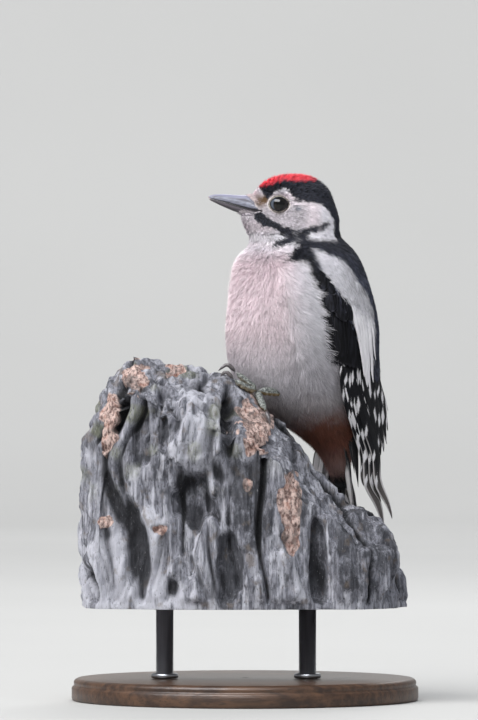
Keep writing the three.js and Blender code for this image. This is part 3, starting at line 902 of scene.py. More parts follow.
# Root and tip height, root and tip angle, half widths of outer and inner web, lift of root and tip.
PRIMARIES = [
    (150, 96.0, 91.0, 95, 1.6, 2.6, -1.6, -0.7),
    (150, 78.3, 96.0, 107, 3.0, 4.8, -1.4, 0.4),
    (150, 89, 99, 112, 2.4, 4.2, -1.3, 1.0),
    (150, 81.4, 102, 122, 2.7, 4.6, -1.2, 2.8),
    (150, 94.0, 105, 128, 2.0, 3.4, -1.0, 0.0),
    (150, 99.5, 107, 130, 2.0, 3.6, -0.9, 0.1),
    (150, 104, 110, 124, 2.2, 3.6, -0.8, 0.2),
    (150, 107, 112, 122, 2.2, 3.6, -0.7, 0.2),
]
SECONDARIES = [
    (168, 119, 92.5, 96.5, 2.4, 3.8, -2.4, -0.7),
    (168, 115, 97.5, 102, 2.4, 3.8, -2.4, -0.5),
    (168, 112, 103, 108.5, 2.5, 3.8, -2.4, -0.3),
    (168, 110, 109, 115.5, 2.6, 4.0, -2.4, -0.1),
    (168, 109.5, 115.5, 123, 2.8, 4.0, -2.4, 0.0),
    (168, 110, 122, 130.5, 2.9, 4.2, -2.4, 0.1),
    (168, 111.5, 129, 139, 3.1, 4.4, -2.4, 0.3),
    (168, 115, 136.5, 148.5, 3.4, 4.6, -2.4, 0.4),
    (168, 121, 144, 154, 3.6, 4.8, -2.4, 0.6),
    (168, 130, 153, 164, 3.8, 4.8, -2.4, 0.6),
]


def flight_finish():
    """Black flight feathers barred with white spots, and worn brown at their long tips."""
    finish = Finish("flight_feathers", 0.55, 0.12)
    across, drop, tone, turn, spot = finish.attributes("across", "drop", "tone", "round", "spot_size")
    ragged = finish.noise(0.8, 2.0) * 0.16 - 0.08
    slanted = (across + 0.6) * 0.3 + ragged
    row = (146.5 - drop - (turn - 95) * 0.2) / 11.0 + tone * 0.3 + slanted
    number = row.math("ROUND")
    cell = finish.vector(tone * 9.7, number)
    chance = finish.node("ShaderNodeTexWhiteNoise", {"noise_dimensions": "2D"}, {"Vector": cell})
    wide = spot + (Value(finish, chance.outputs["Value"]) - 0.5) * 0.16
    bar = (abs(row - number) - wide).between(0.05, -0.03) * row.between(-0.5, -0.4)
    web = (across - wide * 2.4 + 0.36).between(0.12, -0.1) * (across + 0.99).between(-0.04, 0.04)
    rim = abs(across).between(0.5, 0.72) * drop.between(108, 98)
    rim = rim.math("MAXIMUM", (across + 0.8).between(0.06, -0.04) * drop.between(124, 114))
    slant = finish.vector(drop * 1.1 + abs(across) * 3.0, tone)
    waves = finish.node("ShaderNodeTexWave", {"wave_type": "BANDS", "bands_direction": "X"},
                        {"Vector": slant, "Scale": 1.0, "Distortion": 1.2, "Detail": 1.0})
    barbs = Value(finish, waves.outputs["Fac"])
    colour = finish.layered((13, 13, 16), ((24, 24, 30), barbs),
                            ((122, 116, 114), drop.between(106, 89) * 0.85 * (0.6 + barbs * 0.4)),
                            ((222, 218, 220), rim * 0.9),
                            ((232, 230, 234), bar * web * drop.between(93, 99)))
    return finish.paint(colour, barbs + abs(across).between(0.06, 0.0) * 2, 0.08)


def spot_sizes(feathers, seed):
    """Half the height of each feather's spots, as a share of the distance between them."""
    tips, angles = np.array(feathers)[:, 1], np.array(feathers)[:, 2]
    uneven = 0.155 + 0.06 * np.abs(np.sin(np.arange(len(tips)) * 2.3 + seed))
    return np.where(tips < 108, 0.14, uneven) * np.where(angles > 120, 0.75, 1.1)


def make_wings(shell):
    finish = flight_finish()
    for name, side in SIDES.items():
        parts = []
        for feathers, rounded, seed in ((PRIMARIES, 3.4, 1), (SECONDARIES, 6.0, 2)):
            net, faces, values = laid_vanes(shell, side, feathers, rounded=rounded, seed=seed)
            values["spot_size"] = spot_sizes(feathers, seed)[:, None, None]
            parts.append((net, faces, values))
        nodes = [f"wing_{name}_{kind}" for kind in FLIGHT_NODES]
        make_feathers(f"wing_{name}_flight_feathers", parts, finish, nodes)


GREATER_COVERTS = ((179, 152, 79, 80, 3.0, 3.4, -1.2, 0.1), (177, 148.5, 110, 108, 3.0, 3.4, -1.2, 0.3))
MEDIAN_COVERTS = [
    (196, 184.2, 73, 78, 4.0, 4.0, -1.2, 0.8),
    (193, 182, 80, 86, 3.2, 3.2, -0.7, 0.6), (187, 174.6, 79, 84, 4.4, 4.4, -0.5, 1.1),
    (186, 174, 90, 95, 3.4, 3.4, -0.6, 0.7), (183, 170.2, 89, 93.5, 4.5, 4.5, -0.4, 1.2),
    (182, 170.3, 97, 100, 3.4, 3.4, -0.6, 0.8),
]


def make_coverts(shell):
    """Greater coverts in one row, and over them the rounded median coverts."""
    finish = Finish("coverts", 0.62, 0.1)
    across, tip, tone, drop = finish.attributes("across", "along", "tone", "drop")
    streaks = finish.noise(0.9, 3.0, (1, 1, 0.12))
    # Where the painted sheen and highlight are strongest: the upper, median coverts.
    high = drop.between(166, 178)
    # Painted sheen in the middle of each vane.
    sheen = streaks.between(0.35, 0.75) * (0.45 + tone * 0.25) * (1 - abs(across).between(0.3, 1))
    # Pale edges: partly real fringes, partly painted highlight.
    edge = abs(across).between(0.8, 1.0).math("MAXIMUM", tip.between(0.93, 1.0))
    colour = finish.layered((9, 9, 12), ((66, 67, 80), sheen * (0.25 + high * 0.75)),
                            ((96, 96, 106), edge * (0.12 + high * 0.4)))
    finish.paint(colour, streaks, 0.12)
    for name, side in SIDES.items():
        greater = laid_vanes(shell, side, fan(9, *GREATER_COVERTS), rows=24, rounded=6, seed=5)
        median = laid_vanes(shell, side, MEDIAN_COVERTS, rows=24, rounded=3.0, seed=6, cup=0.3,
                            fray=0.04)
        make_feathers(f"wing_{name}_covert_rows", [greater, median], finish)


LONG_SCAPULARS = [
    (186, 161, 103, 108, 2.0, 2.3, -1.4, 0.9), (188, 151, 106, 111, 2.1, 2.4, -1.3, 1.1),
    (187, 145.5, 109, 112.5, 2.1, 2.4, -1.2, 1.2), (188, 141, 113, 116, 2.0, 2.4, -1.2, 1.3),
    (187, 138.5, 117, 119.5, 1.9, 2.2, -1.2, 1.3), (188, 143, 122, 124.5, 1.6, 1.9, -1.3, 1.1),
    (184, 153, 127, 129, 1.4, 1.6, -1.4, 0.9),
]


def make_scapulars(shell):
    """The long white feathers that hang from the shoulder over the wing."""
    finish = Finish("long_white_feathers", 0.8, 0.25)
    across, tone = finish.attributes("across", "tone")
    streaks = finish.noise(0.7, 3.0, (1, 1, 0.1))
    # Grey towards each vane's edge: painted shade between the overlapping feathers.
    colour = finish.layered((204, 201, 206), ((240, 238, 242), streaks.between(0.2, 0.7)),
                            ((166, 164, 172), abs(across).between(0.8, 1.05) * 0.45),
                            ((186, 183, 190), tone.between(-0.2, 1.4) * 0.3))
    finish.paint(colour, streaks, 0.12)
    for name, side in SIDES.items():
        vanes = laid_vanes(shell, side, LONG_SCAPULARS, rounded=3.0, seed=8, fray=0.05)
        make_feathers(f"scapulars_{name}_long", [vanes], finish)


TAIL_PAIRS = range(1, 6)
# Black feathers beside the tail's root: how far behind and beside the body, tip height, half width.
UNDER_TAIL_SPIKES = ((18.0, 12.6, 95.5, 2.4), (16.2, 12.2, 102.0, 2.2))
UNDER_TAIL_TOP = 127


def node_vane(name, rows):
    """Middle points, way out and down, and half width of a CAD feather, read from its solid."""
    points, _ = node_mesh(name)
    centre = points.mean(axis=0)
    _, _, axes = np.linalg.svd(points - centre)
    length_way = axes[0] * (-1 if axes[0][2] > 0 else 1)
    out = axes[2] * (-1 if axes[2] @ AHEAD > 0 else 1)
    side = np.cross(out, length_way)
    reach, across = (points - centre) @ length_way, (points - centre) @ side
    stations, bands = (np.linspace(reach.min(), reach.max(), count) for count in (rows, 7))
    edges = []
    for low, high in zip(bands, bands[1:]):
        near = across[(reach >= low - 2) & (reach <= high + 2)]
        edges.append((near.min(), near.max()))
    first, last = np.array(edges).T
    middles = (bands[1:] + bands[:-1]) / 2
    sideways = np.interp(stations, middles, (first + last) / 2)
    half = np.interp(stations, middles, (last - first) / 2).max()
    line = centre + np.outer(stations, length_way) + np.outer(sideways, side)
    return line, out, length_way, half


def tail_finish():
    finish = Finish("tail_feathers", 0.5, 0.35)
    across, drop, pale = finish.attributes("across", "drop", "pale")
    streaks = finish.noise(0.8, 3.0, (1, 1, 0.1))
    bar = abs((drop / 7.5).math("FRACT") - 0.5).between(0.2, 0.12) * across.between(0.15, 0.3)
    under_coverts = drop.between(113, 118)
    white = finish.layered((206, 203, 206), ((232, 230, 232), streaks),
                           ((36, 34, 38), bar * drop.between(86, 80)),
                           ((40, 38, 42), across.between(0.72, 0.85) * 0.9))
    black = finish.layered((20, 20, 24), ((44, 42, 48), streaks.between(0.4, 0.8)),
                           ((200, 196, 198), abs(across).between(0.93, 0.97) * 0.5),
                           ((18, 16, 18), under_coverts))
    return finish.paint(finish.mix(black, white, pale * (1 - under_coverts)),
                        streaks + abs(across).between(0.07, 0.0) * 2, 0.1)


def tail_vane(line, out, way, half, side, pale=0.0, shift=0.0, **form):
    """One feather as a closed net, with the values that the tail's finish reads."""
    out, way = (np.broadcast_to(each, line.shape)[None] for each in (out, way))
    net, across = vane_net(line[None], out, way, half[None], half[None], **form)
    values = {"across": -side * across, "drop": net[..., 2] + shift, "pale": pale}
    return net, ring_faces(1, len(line), net.shape[2]), values


def make_tail():
    """Five pairs of stiff feathers: black in the middle, white with dark bars outside."""
    finish = tail_finish()
    rows = 30
    t = np.linspace(0, 1, rows)
    taper = (1 - t ** 3.2 * 0.985) ** 0.6
    for name, side in SIDES.items():
        tucked = 0 if side > 0 else 14  # the far side's feathers show further up
        web = mixed(0.08, 1.0, ease(0.22, 0.5, t + tucked * 0.02)) * taper
        parts = []
        for behind, out_by, tip, half in UNDER_TAIL_SPIKES:
            back = mixed(behind, behind + 3.2, t)[:, None]
            beside = side * mixed(out_by, out_by - 0.8, t)[:, None]
            height = np.linspace(UNDER_TAIL_TOP, tip, rows)[:, None]
            line = BODY_AT - AHEAD * back + UP * height + LEFTWARD * beside
            spike = half * (1 - t ** 1.6 * 0.98)
            parts.append(tail_vane(line, LEFTWARD * side, unit(line[-1] - line[0]), spike, side,
                                   thick=0.2))
        for pair in TAIL_PAIRS:
            line, out, way, half = node_vane(f"tail_{name}_{pair}", rows)
            parts.append(tail_vane(line, out, way, half * web, side, float(pair > 3),
                                   pair * 2.3 - tucked, thick=0.3, cup=0.12, shaft=0.25))
        nodes = [f"tail_{name}_{pair}" for pair in TAIL_PAIRS]
        make_feathers(f"tail_{name}_feathers", parts, finish, nodes)


# ---- head pieces ----

EYE_OPENING = (3.95, 3.1, 3.25)  # half width, and half height over and under the middle
EYE_RADIUS = 4.3
EYE_FLAT = 0.94  # depth of the ball against its width
EYE_SIDES = 72


def eye_finish():
    """A wet, nearly black iris and pupil, with a blue-grey crescent in front of them."""
    ball = Finish("eye", 0.05, 0.4)
    gaze, front = ball.attributes("gaze", "front")
    crescent = gaze.between(0.7, 0.76) * gaze.between(0.98, 0.9) * front.between(0.45, 0.85)
    colour = ball.layered((4, 4, 3), ((22, 17, 12), gaze.between(0.42, 0.56)),
                          ((5, 7, 12), gaze.between(0.62, 0.67)), ((74, 81, 93), crescent))
    return ball.paint(colour)


def eyelid_finish():
    """Black at the eye's edge, then narrow pale and dark rings of tiny feathers."""
    lid = Finish("eyelids", 0.6, 0.3)
    stops = [(0.0, rgb(12, 12, 14)), (0.38, rgb(24, 24, 30)), (0.48, rgb(156, 148, 134)),
             (0.53, rgb(176, 168, 158)), (0.6, rgb(60, 54, 54)), (0.7, rgb(84, 76, 74)),
             (0.8, rgb(204, 196, 194)), (1.0, rgb(210, 202, 204))]
    speckle = lid.noise(0.6, 2.0).between(0.3, 0.7) * 0.12
    place = lid.attribute("across") + speckle - 0.06
    colour = lid.node("ShaderNodeValToRGB", {"stops": stops}, {0: place}).outputs[0]
    return lid.paint(colour, lid.noise(0.35, 2.0), 0.08)


# Rings of the eyelids: beyond the opening's edge, over the ball, share that lies on the skin.
LIDS = [(-0.4, -0.3, 0), (-0.12, 0.06, 0), (0.05, 0.2, 0), (0.2, 0.26, 0), (0.38, 0.2, 0.1),
        (0.56, 0.1, 0.2), (0.74, 0.2, 0.35), (0.95, 0.14, 0.55), (1.2, 0.0, 0.8), (1.6, -0.4, 1.0)]
LIDS_ON_BALL = 8  # this many rings never sink into the ball


def make_eyeball(name, side, centre, axis, spoke, finish):
    rings, sides = 32, len(spoke)
    tilt = np.linspace(0.001, math.pi - 0.001, rings)[:, None, None]
    way = np.cos(tilt) * axis * EYE_FLAT + np.sin(tilt) * spoke
    gaze = unit(np.array([0.13, -side * 1.0, -0.08]))
    off = np.linalg.norm(np.cross(unit(way), gaze), axis=-1)
    off = np.where(way @ gaze > 0, off, 1.0)
    front = np.cos(np.arange(sides) * 2 * math.pi / sides - 0.1)
    faces = net_faces(rings, sides, closed=True, flip=side > 0)
    make_piece(f"eye_{name}_ball", centre + EYE_RADIUS * way, [faces], finish, [f"eye_{name}"],
               {"gaze": off, "front": front})


def make_eyelids(name, side, centre, axis, spoke, skin, finish):
    sides = len(spoke)
    turn = np.arange(sides) * 2 * math.pi / sides
    half_width, half_over, half_under = EYE_OPENING
    tall = np.where(np.sin(turn) > 0, half_over, half_under)
    narrow = 1 - 0.06 * np.abs(np.sin(turn * 2))
    opening = narrow / np.hypot(np.cos(turn) / half_width, np.sin(turn) / tall)
    rows = []
    for i, (beyond, stand, on_skin) in enumerate(LIDS):
        reach = opening + beyond
        bead = 0.05 * np.cos(turn * 28) * (3 <= i <= 6)
        inside = np.minimum(reach, EYE_RADIUS * 0.985)
        on_ball = np.sqrt(EYE_RADIUS ** 2 - inside ** 2) * EYE_FLAT
        spots = centre + spoke * reach[:, None]
        on_face = np.array([skin_level(skin, spot, axis) for spot in spots])
        lowest = on_ball + (0.0 if i < LIDS_ON_BALL else -9)
        height = np.maximum(mixed(on_ball, on_face + 0.7, on_skin), lowest)
        rows.append(spots + axis * (height + stand + bead)[:, None])
    faces = net_faces(len(rows), sides, closed=True, flip=side > 0)
    share = np.arange(len(LIDS))[:, None] / (len(LIDS) - 1)
    make_piece(f"eyelids_{name}", np.stack(rows), [faces], finish, (),
               {"across": share})


def make_eyes(skin):
    ball, lid = eye_finish(), eyelid_finish()
    turn = np.arange(EYE_SIDES) * 2 * math.pi / EYE_SIDES
    for name, side in SIDES.items():
        centre = from_head([LIDS_AT[0], side * EYE_OUT, LIDS_AT[1]])
        axis = unit(np.array([-0.06, -side * 1.0, 0.0]))
        ahead = unit(np.array([-1.0, 0, 0]) - axis * (-axis[0]))
        spoke = np.cos(turn)[:, None] * ahead + np.sin(turn)[:, None] * UP
        make_eyeball(name, side, centre, axis, spoke, ball)
        make_eyelids(name, side, centre, axis, spoke, skin, lid)


def skin_level(skin, spot, axis, far=14.0):
    """How far along the axis from a spot the skin lies."""
    hit = skin.tree.ray_cast((spot + axis * far).tolist(), (-axis).tolist(), far * 2)
    return far - hit[3] if hit[0] is not None else 0.0


def bill_finish():
    """Slate horn: a painted highlight pale along the ridge, pale over the mouth line, painted shade in
    the mouth line's crease and under the lower half, and dark in its grooves, partly their own colour and
    partly painted shade.
    """
    finish = Finish("bill_horn", 0.38, 0.3)
    height, far, lower, groove = finish.attributes("height", "along", "lower", "groove")
    grain = finish.noise(0.6, 4.0, (0.12, 1, 1))
    # The lower half darkens towards its keel: painted shade on the underside.
    under = finish.layered((92, 87, 94), ((52, 49, 54), height.between(0.3, 0.95)),
                           ((112, 108, 116), grain.between(0.55, 0.75) * 0.5))
    # Painted highlight along the ridge; painted shade in the crease of the mouth line; the nostril groove
    # is partly its own pinkish dark, partly painted shade.
    horn = finish.layered((78, 78, 90), ((118, 120, 136), grain.between(0.3, 0.7)),
                          ((150, 150, 174), height.between(0.62, 0.85) * 0.75), (under, lower),
                          ((30, 27, 33), height.between(0.2, 0.04) * far.between(0.96, 0.86)),
                          ((56, 44, 50), groove * 0.85),
                          ((186, 164, 162), far.between(0.93, 0.99) * (1 - groove) * 0.7))
    return finish.paint(horn, grain, 0.06)


def make_bill():
    finish = bill_finish()
    rows, arc, inside = 64, 44, 7
    whole = (rows, arc + inside)
    reach = np.linspace(0, 1, rows)[:, None]
    theta = np.linspace(0, math.pi, arc)
    inner = np.linspace(-0.8, 0.8, inside)
    for name, horn in HORNS.items():
        upper = name == "upper"
        x = mixed(BILL_ROOT, horn["tip"], 1 - (1 - reach) ** 1.25)
        culmen, mouth, keel, half = bill_at(x)
        edge = mouth + horn["gap"]
        tall = (culmen if upper else keel) - edge
        narrow = half * horn["wide"]
        narrow[-1] = 0.02
        lift = np.sin(theta) ** horn["arch"]
        z = edge + tall * lift
        line = np.interp(x, [16, 17.1, 20, 22.5, 25.6, 30], [0.8, 1.6, 3.3, 4.0, 4.1, 4.3])
        groove = np.exp(-((z - line) / 0.28) ** 2) * ease(27, 23, x) * upper
        spot = np.exp(-np.hypot(x - 35.6, z - 4.9) ** 2 / 0.12) * upper
        y = narrow * np.sign(np.cos(theta)) * np.abs(np.cos(theta)) ** BILL_ROUND
        y = y - 0.3 * groove * np.sign(np.cos(theta))
        z_in = edge + tall * 0.12 * (1 - inner ** 2)
        net = np.stack([np.broadcast_to(x, whole), np.concatenate([y, narrow * inner], 1),
                        np.concatenate([z, z_in], 1)], axis=-1)
        none = np.zeros(z_in.shape)
        values = {"height": np.concatenate([lift, np.zeros(inside)]),
                  "groove": np.concatenate([np.maximum(groove, spot), none], 1),
                  "along": reach, "lower": float(not upper)}
        faces = net_faces(*whole, closed=True, flip=upper)
        make_piece(f"bill_{name}_horn", from_head(net), [faces], finish, [f"bill_{name}"],
                   values)


def make_bristles(finish):
    """Stiff little feathers round the bill's root, lying forward over the horn."""
    rng = np.random.default_rng(41)
    count, over_share, over_arc, under_arc = 2600, 0.6, 82, 52
    place = rng.uniform(-1, 1, count)
    turn = np.where(rng.random(count) < over_share, place * over_arc, 180 + place * under_arc)
    below = np.abs(turn - 180) < 90
    turn = np.radians(turn)
    sloping = 4.5 * (1 - np.cos(turn))
    start = np.where(below, rng.uniform(17.5, 22.6, count), rng.uniform(16.6, 19.4, count) - sloping)
    size = np.where(below, rng.uniform(2.0, 3.6, count), rng.uniform(1.4, 2.6, count))
    size *= mixed(1.0, 0.6, np.abs(place) ** 2)
    tilt = rng.normal(0, 0.1, count)
    t = np.linspace(0, 1, 4)
    x = start[:, None] + size[:, None] * t
    culmen, _, keel, half = bill_at(x)
    off = np.where(below[:, None], 1.5 - 0.9 * t, 0.7 - 0.45 * t) * rng.uniform(0.3, 1.1, count)[:, None]
    angle = turn[:, None] + tilt[:, None] * t
    y = (half + off) * np.sin(angle)
    z = (culmen + keel) / 2 + ((culmen - keel) / 2 + off) * np.cos(angle)
    middle = from_head(np.stack([x, y, z], axis=-1))
    side = np.stack([np.zeros_like(y), -np.cos(angle), -np.sin(angle)], axis=-1)
    half_width = 0.09 * np.array([0.8, 1.0, 0.75, 0.0])[:, None]
    left, right = middle - side * half_width, middle + side * half_width
    points = np.concatenate([left, right[:, :3]], axis=1)
    first = (np.arange(count) * 7)[:, None]
    quads = np.concatenate([first + np.array(ring) for ring in ([0, 4, 5, 1], [1, 5, 6, 2])])
    faces = [quads, first + np.array([2, 6, 3])]
    marks = markings(middle[:, 1])
    marks["dark"] = (rng.random(count) < 0.16) * 0.8
    marks["red"] = np.zeros(count)
    marks["buff"] = np.where(below, 0.5, 0.9)
    marks["brown"] = np.where(below, 0.2, 0.2 + 0.5 * np.abs(place)) * rng.uniform(0.4, 1, count)
    values = {key: share[:, None] for key, share in marks.items()}
    values["along"] = [0.2, 0.5, 0.8, 1, 0.2, 0.5, 0.8]
    values["tone"] = rng.normal(0, 0.5, count)[:, None]
    patch = np.stack([(turn / (2 * math.pi)) % 1, (x[:, 0] - 16) / 10], axis=-1)
    corner = np.array([(-1, -1), (-1, 0), (-1, 0.6), (0, 1), (1, -1), (1, 0), (1, 0.6)])
    patch = patch[:, None, :] + PATCH_SIZE * corner
    make_piece("bill_bristles", points, faces, finish, (), values, patch)


# ---- feet ----

def refined(name, voxel, passes):
    """A CAD node's form on a fine even mesh, smoothed: points, faces and outward ways."""
    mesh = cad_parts[name].data.copy()
    lump = place_in_scene("lump", mesh)
    remesh = lump.modifiers.new("remesh", "REMESH")
    remesh.mode = "VOXEL"
    remesh.voxel_size = voxel * MM
    smooth = lump.modifiers.new("smooth", "SMOOTH")
    smooth.iterations = passes
    evaluated = lump.evaluated_get(bpy.context.evaluated_depsgraph_get())
    fine = bpy.data.meshes.new_from_object(evaluated)
    points, ways = (read_all(fine.vertices, key, 3) for key in ("co", "normal"))
    corners = read_all(fine.loops, "vertex_index", 1, np.int32)[:, 0]
    totals = read_all(fine.polygons, "loop_total", 1, np.int32)[:, 0]
    starts = np.cumsum(totals) - totals
    faces = [corners[starts[totals == size][:, None] + np.arange(size)] for size in (3, 4)]
    bpy.data.objects.remove(lump)
    bpy.data.meshes.remove(fine)
    bpy.data.meshes.remove(mesh)
    return points / MM, faces, ways


def make_feet():
    scaly = Finish("leg_scales", 0.55, 0.4)
    groove, sole = scaly.attributes("groove", "sole")
    colour = scaly.layered((76, 80, 78), ((146, 150, 146), scaly.noise(0.7, 4.0).between(0.4, 0.6)),
                           ((124, 104, 70), sole * 0.9), ((34, 36, 38), groove * 0.85))
    scaly.paint(colour, scaly.noise(0.45, 3.0), 0.15)
    claw = Finish("claw_horn", 0.3)
    claw.paint(claw.mix((66, 62, 66), (112, 106, 106), claw.noise(1.0, 3.0, (1, 1, 0.3))))
    for name in SIDES:
        for kind in ("leg", *TOES):
            node = f"leg_{name}" if kind == "leg" else f"toe_{name}_{kind}"
            points, faces, out = refined(node, 0.2, 6)
            centre = points.mean(axis=0)
            _, _, axes = np.linalg.svd(points[::7] - centre)
            reach = (points - centre) @ axes[0]
            phase = reach / 1.35
            ring = np.abs((phase % 1) - 0.5) * 2
            above = ease(-0.2, 0.5, out[:, 2] - abs(axes[0][2]) * 0.4 + 0.3 * (kind == "leg"))
            pads = ease(-0.1, -0.7, out[:, 2])
            step = ease(0.75, 1.0, ring)
            points = points + out * (0.1 - 0.3 * step * above + pads * 0.2 * np.sin(reach * 2.4))[:, None]
            values = {"groove": step * above, "sole": pads}
            make_piece(f"{node}_scaled", points, faces, scaly, [node], values)
            if kind != "leg":
                node = f"claw_{name}_{kind}"
                points, faces, out = refined(node, 0.15, 8)
                make_piece(f"{node}_horn", points + out * 0.12, faces, claw, [node])


# ---- perch and stand ----

# Where the wood has rotted pale: middle and half size of each patch, along X and in height.
ROTTEN = [(5, 125, 9, 13), (20, 86, 5.5, 18), (-31, 151, 6, 6), (-50, 147, 7, 7),
          (-61, 124, 5, 14), (1, 96, 3, 6), (-63, 81, 4, 2.5), (-38, 78, 3, 3)]
# The perch's big forms: middle and half size along X and in height, how far out, how much paler. The
# paleness is partly the wood's own tone, partly painted shade: most sunk forms are darker.
FORMS = [(-22, 126, 11, 21, 3.0, 0.7), (-7, 124, 3.2, 19, -5.0, -0.8), (-46, 122, 4, 20, -4.5, -0.8),
         (-37, 128, 2.5, 14, -3.5, -0.5), (-21, 87, 11, 13, -7.0, -1.0), (-17, 58, 8, 24, 3.5, 0.4),
         (-7, 62, 5, 20, -4.0, -0.8), (-52, 58, 27, 30, 1.5, 1.3), (2, 94, 11, 22, -1.0, -0.7),
         (52, 66, 15, 21, 2.5, -0.5), (33, 64, 3.2, 20, -6.0, -1.0), (-66, 96, 9, 20, 1.0, 0.4),
         (24, 118, 7, 18, 0.5, -0.5), (15, 55, 9, 12, 1.5, 0.3)]


def rough(points, *layers):
    """Noise in layers, each with its lump size, seed, amount and squeeze in height."""
    return sum(noise(points * [1, 1, squeeze], lump, seed) * amount
               for lump, seed, amount, squeeze in layers)


def off_patch(points, patch):
    """Distance from the middle of a patch on the perch's front; 1 is its edge."""
    middle_x, middle_z, half_x, half_z = patch
    return np.hypot((points[:, 0] - middle_x) / half_x, (points[:, 2] - middle_z) / half_z)


def big_forms(points):
    """How far the perch's lumps and hollows stand out, and how pale they are, with painted shade in most
    sunk forms.
    """
    y = points[:, 1]
    push, pale = np.zeros(len(points)), np.zeros(len(points))
    ragged = rough(points, (9, 31, 0.5, 0.5), (3.5, 32, 0.25, 0.5))
    for *patch, out_by, paler in FORMS:
        off = off_patch(points, patch) + ragged
        share = ease(1.15, 0.7, off) * ease(4, -8, y)
        push = mixed(push, out_by, share)
        pale = mixed(pale, paler, share)
    return push, pale


def wood_relief(points, out):
    """Clefts, plates and broken fibres of old wood: depth in millimetres, and how hollow, which the
    finish paints as shade.
    """
    wander = np.stack([noise(points, 30, seed) for seed in (5, 6, 7)], -1)
    grain = (points + wander * [10, 10, 5]) * [1, 1, 0.15]
    steep = ease(0.92, 0.45, np.abs(out[:, 2]))
    cleft = lambda size, seed, wide: 1 - ease(0, wide, np.abs(noise(grain, size, seed)))
    deep, middling, fine = cleft(17, 11, 0.24), cleft(8, 12, 0.34), cleft(3.4, 13, 0.5)
    plates = ease(-0.07, 0.07, noise(grain, 12, 14)) + 0.6 * ease(-0.1, 0.1, noise(grain, 5.5, 15))
    lumps = points + wander * 4
    knobs = rough(lumps, (9, 16, 1.3, 1), (4, 17, 0.9, 1))
    broken = rough(points, (2.0, 18, 0.5, 0.6), (1.1, 19, 0.25, 0.4))
    depth = -5.0 * deep - 2.3 * middling - 0.8 * fine + 1.9 * plates - 1.2
    depth = mixed(knobs - 1.6 * middling - 0.6 * fine, depth + knobs * 0.3, steep) + broken
    hollow = np.clip(deep * 1.1 + middling * 0.55 + fine * 0.25 - 0.35 * plates, 0, 1)
    return depth, mixed(0.5 * hollow, hollow, steep)


def rotten_share(points):
    y = points[:, 1]
    rotten = ease(0.5, 0.62, noise(points * [1, 1, 0.4], 17, 20)) * ease(-10, 10, y)
    ragged = rough(points, (4.5, 21, 0.5, 0.45), (2.0, 22, 0.3, 0.5))
    for patch in ROTTEN:
        off = off_patch(points, patch) + ragged
        rotten = np.maximum(rotten, ease(1.05, 0.8, off) * ease(6, -6, y))
    return rotten


def wood_finish():
    """Silver-grey weathered wood, with painted shade, charcoal dark, in its clefts, and crumbling
    pink-cream rot.
    """
    finish = Finish("weathered_wood", 0.8, 0.3)
    hollow, rot, algae, paler = finish.attributes("hollow", "rotten", "algae", "paler")
    fibre = finish.noise(1.3, 6.0, (1, 1, 0.14), 0.7)
    fine = finish.noise(0.6, 4.0, (1, 1, 0.3), 0.7)
    blotch = finish.noise(7.0, 5.0, (1, 1, 0.6), 0.65)
    streak = finish.noise(3.5, 5.0, (1, 1, 0.12), 0.6)
    crumbs = finish.noise(1.2, 4.0, (1, 1, 0.6))
    colour = finish.layered(
        (96, 97, 106),
        ((160, 161, 172), fibre.between(0.36, 0.64)),
        ((52, 53, 59), (blotch - paler * 0.14).between(0.5, 0.63) * 0.75),
        # Pale fibres, kept out of the painted shade in the clefts.
        ((212, 213, 224), (streak + paler * 0.16).between(0.5, 0.66) * (1 - hollow) * 0.85),
        ((118, 104, 90), finish.noise(6.0, 3.0).between(0.58, 0.72) * 0.5),
        ((142, 146, 118), algae * fine.between(0.3, 0.6) * 0.8),
        # Painted shade in the clefts, lighter where the wood is paler.
        ((26, 26, 30), (hollow - paler * 0.25).between(0.12, 0.75) * 0.92),
        ((30, 30, 34), fine.between(0.42, 0.32) * 0.8),
        ((206, 206, 212), fine.between(0.62, 0.72) * 0.5))
    pale = finish.layered(
        (136, 112, 106),
        ((232, 206, 198), crumbs.between(0.36, 0.62)),
        ((180, 128, 110), finish.noise(3.5, 3.0).between(0.5, 0.68) * 0.5),
        ((58, 46, 44), crumbs.between(0.38, 0.28) * 0.8),
        ((96, 92, 92), blotch.between(0.5, 0.62) * 0.7))
    colour = finish.mix(colour, pale, rot.between(0.2, 0.6))
    return finish.paint(colour, fibre * 1.5 + fine * 1.5 + crumbs * rot * 1.5, 0.7)


def make_perch():
    points, faces, out = refined("perch", 0.7, 2)
    feet = np.concatenate([node_mesh(f"{part}_{side}_{kind}")[0] for part in ("toe", "claw")
                           for side in SIDES for kind in TOES])
    near = np.full(len(points), 99.0)
    for spot in feet[::3]:
        near = np.minimum(near, np.linalg.norm(points - spot, axis=1))
    depth, hollow = wood_relief(points, out)
    push, paler = big_forms(points)
    depth = depth + push
    rotten = rotten_share(points)
    crumbled = noise(points, 3.0, 23) * 1.2 + rough(points, (1.4, 24, 0.7, 0.5))
    depth = mixed(depth, -1.4 + crumbled, rotten)
    calm = ease(1.2, 6.5, near) * ease(PERCH_CUT, PERCH_CUT + 4, points[:, 2])
    moved = points + out * (depth * calm - 0.4)[:, None]
    algae = 0.7 * ease(0.3, 0.6, noise(points, 9, 25)) * ease(90, 130, points[:, 2] - points[:, 0] * 0.2)
    # hollow drives the painted shade in the clefts; it fades near the feet.
    values = {"hollow": hollow * calm, "rotten": rotten, "algae": algae, "paler": paler}
    make_piece("perch_weathered", moved, faces, wood_finish(), ["perch"], values)


def lathe(profile, sides, middle):
    """A turned form: distance from the axis and height of each ring."""
    turn = np.arange(sides) * 2 * math.pi / sides
    x, y = middle
    rings = [np.stack([x + radius * np.cos(turn), y + radius * np.sin(turn), np.full(sides, z)], -1)
             for radius, z in profile]
    return np.concatenate(rings), [net_faces(len(profile), sides, closed=True)]


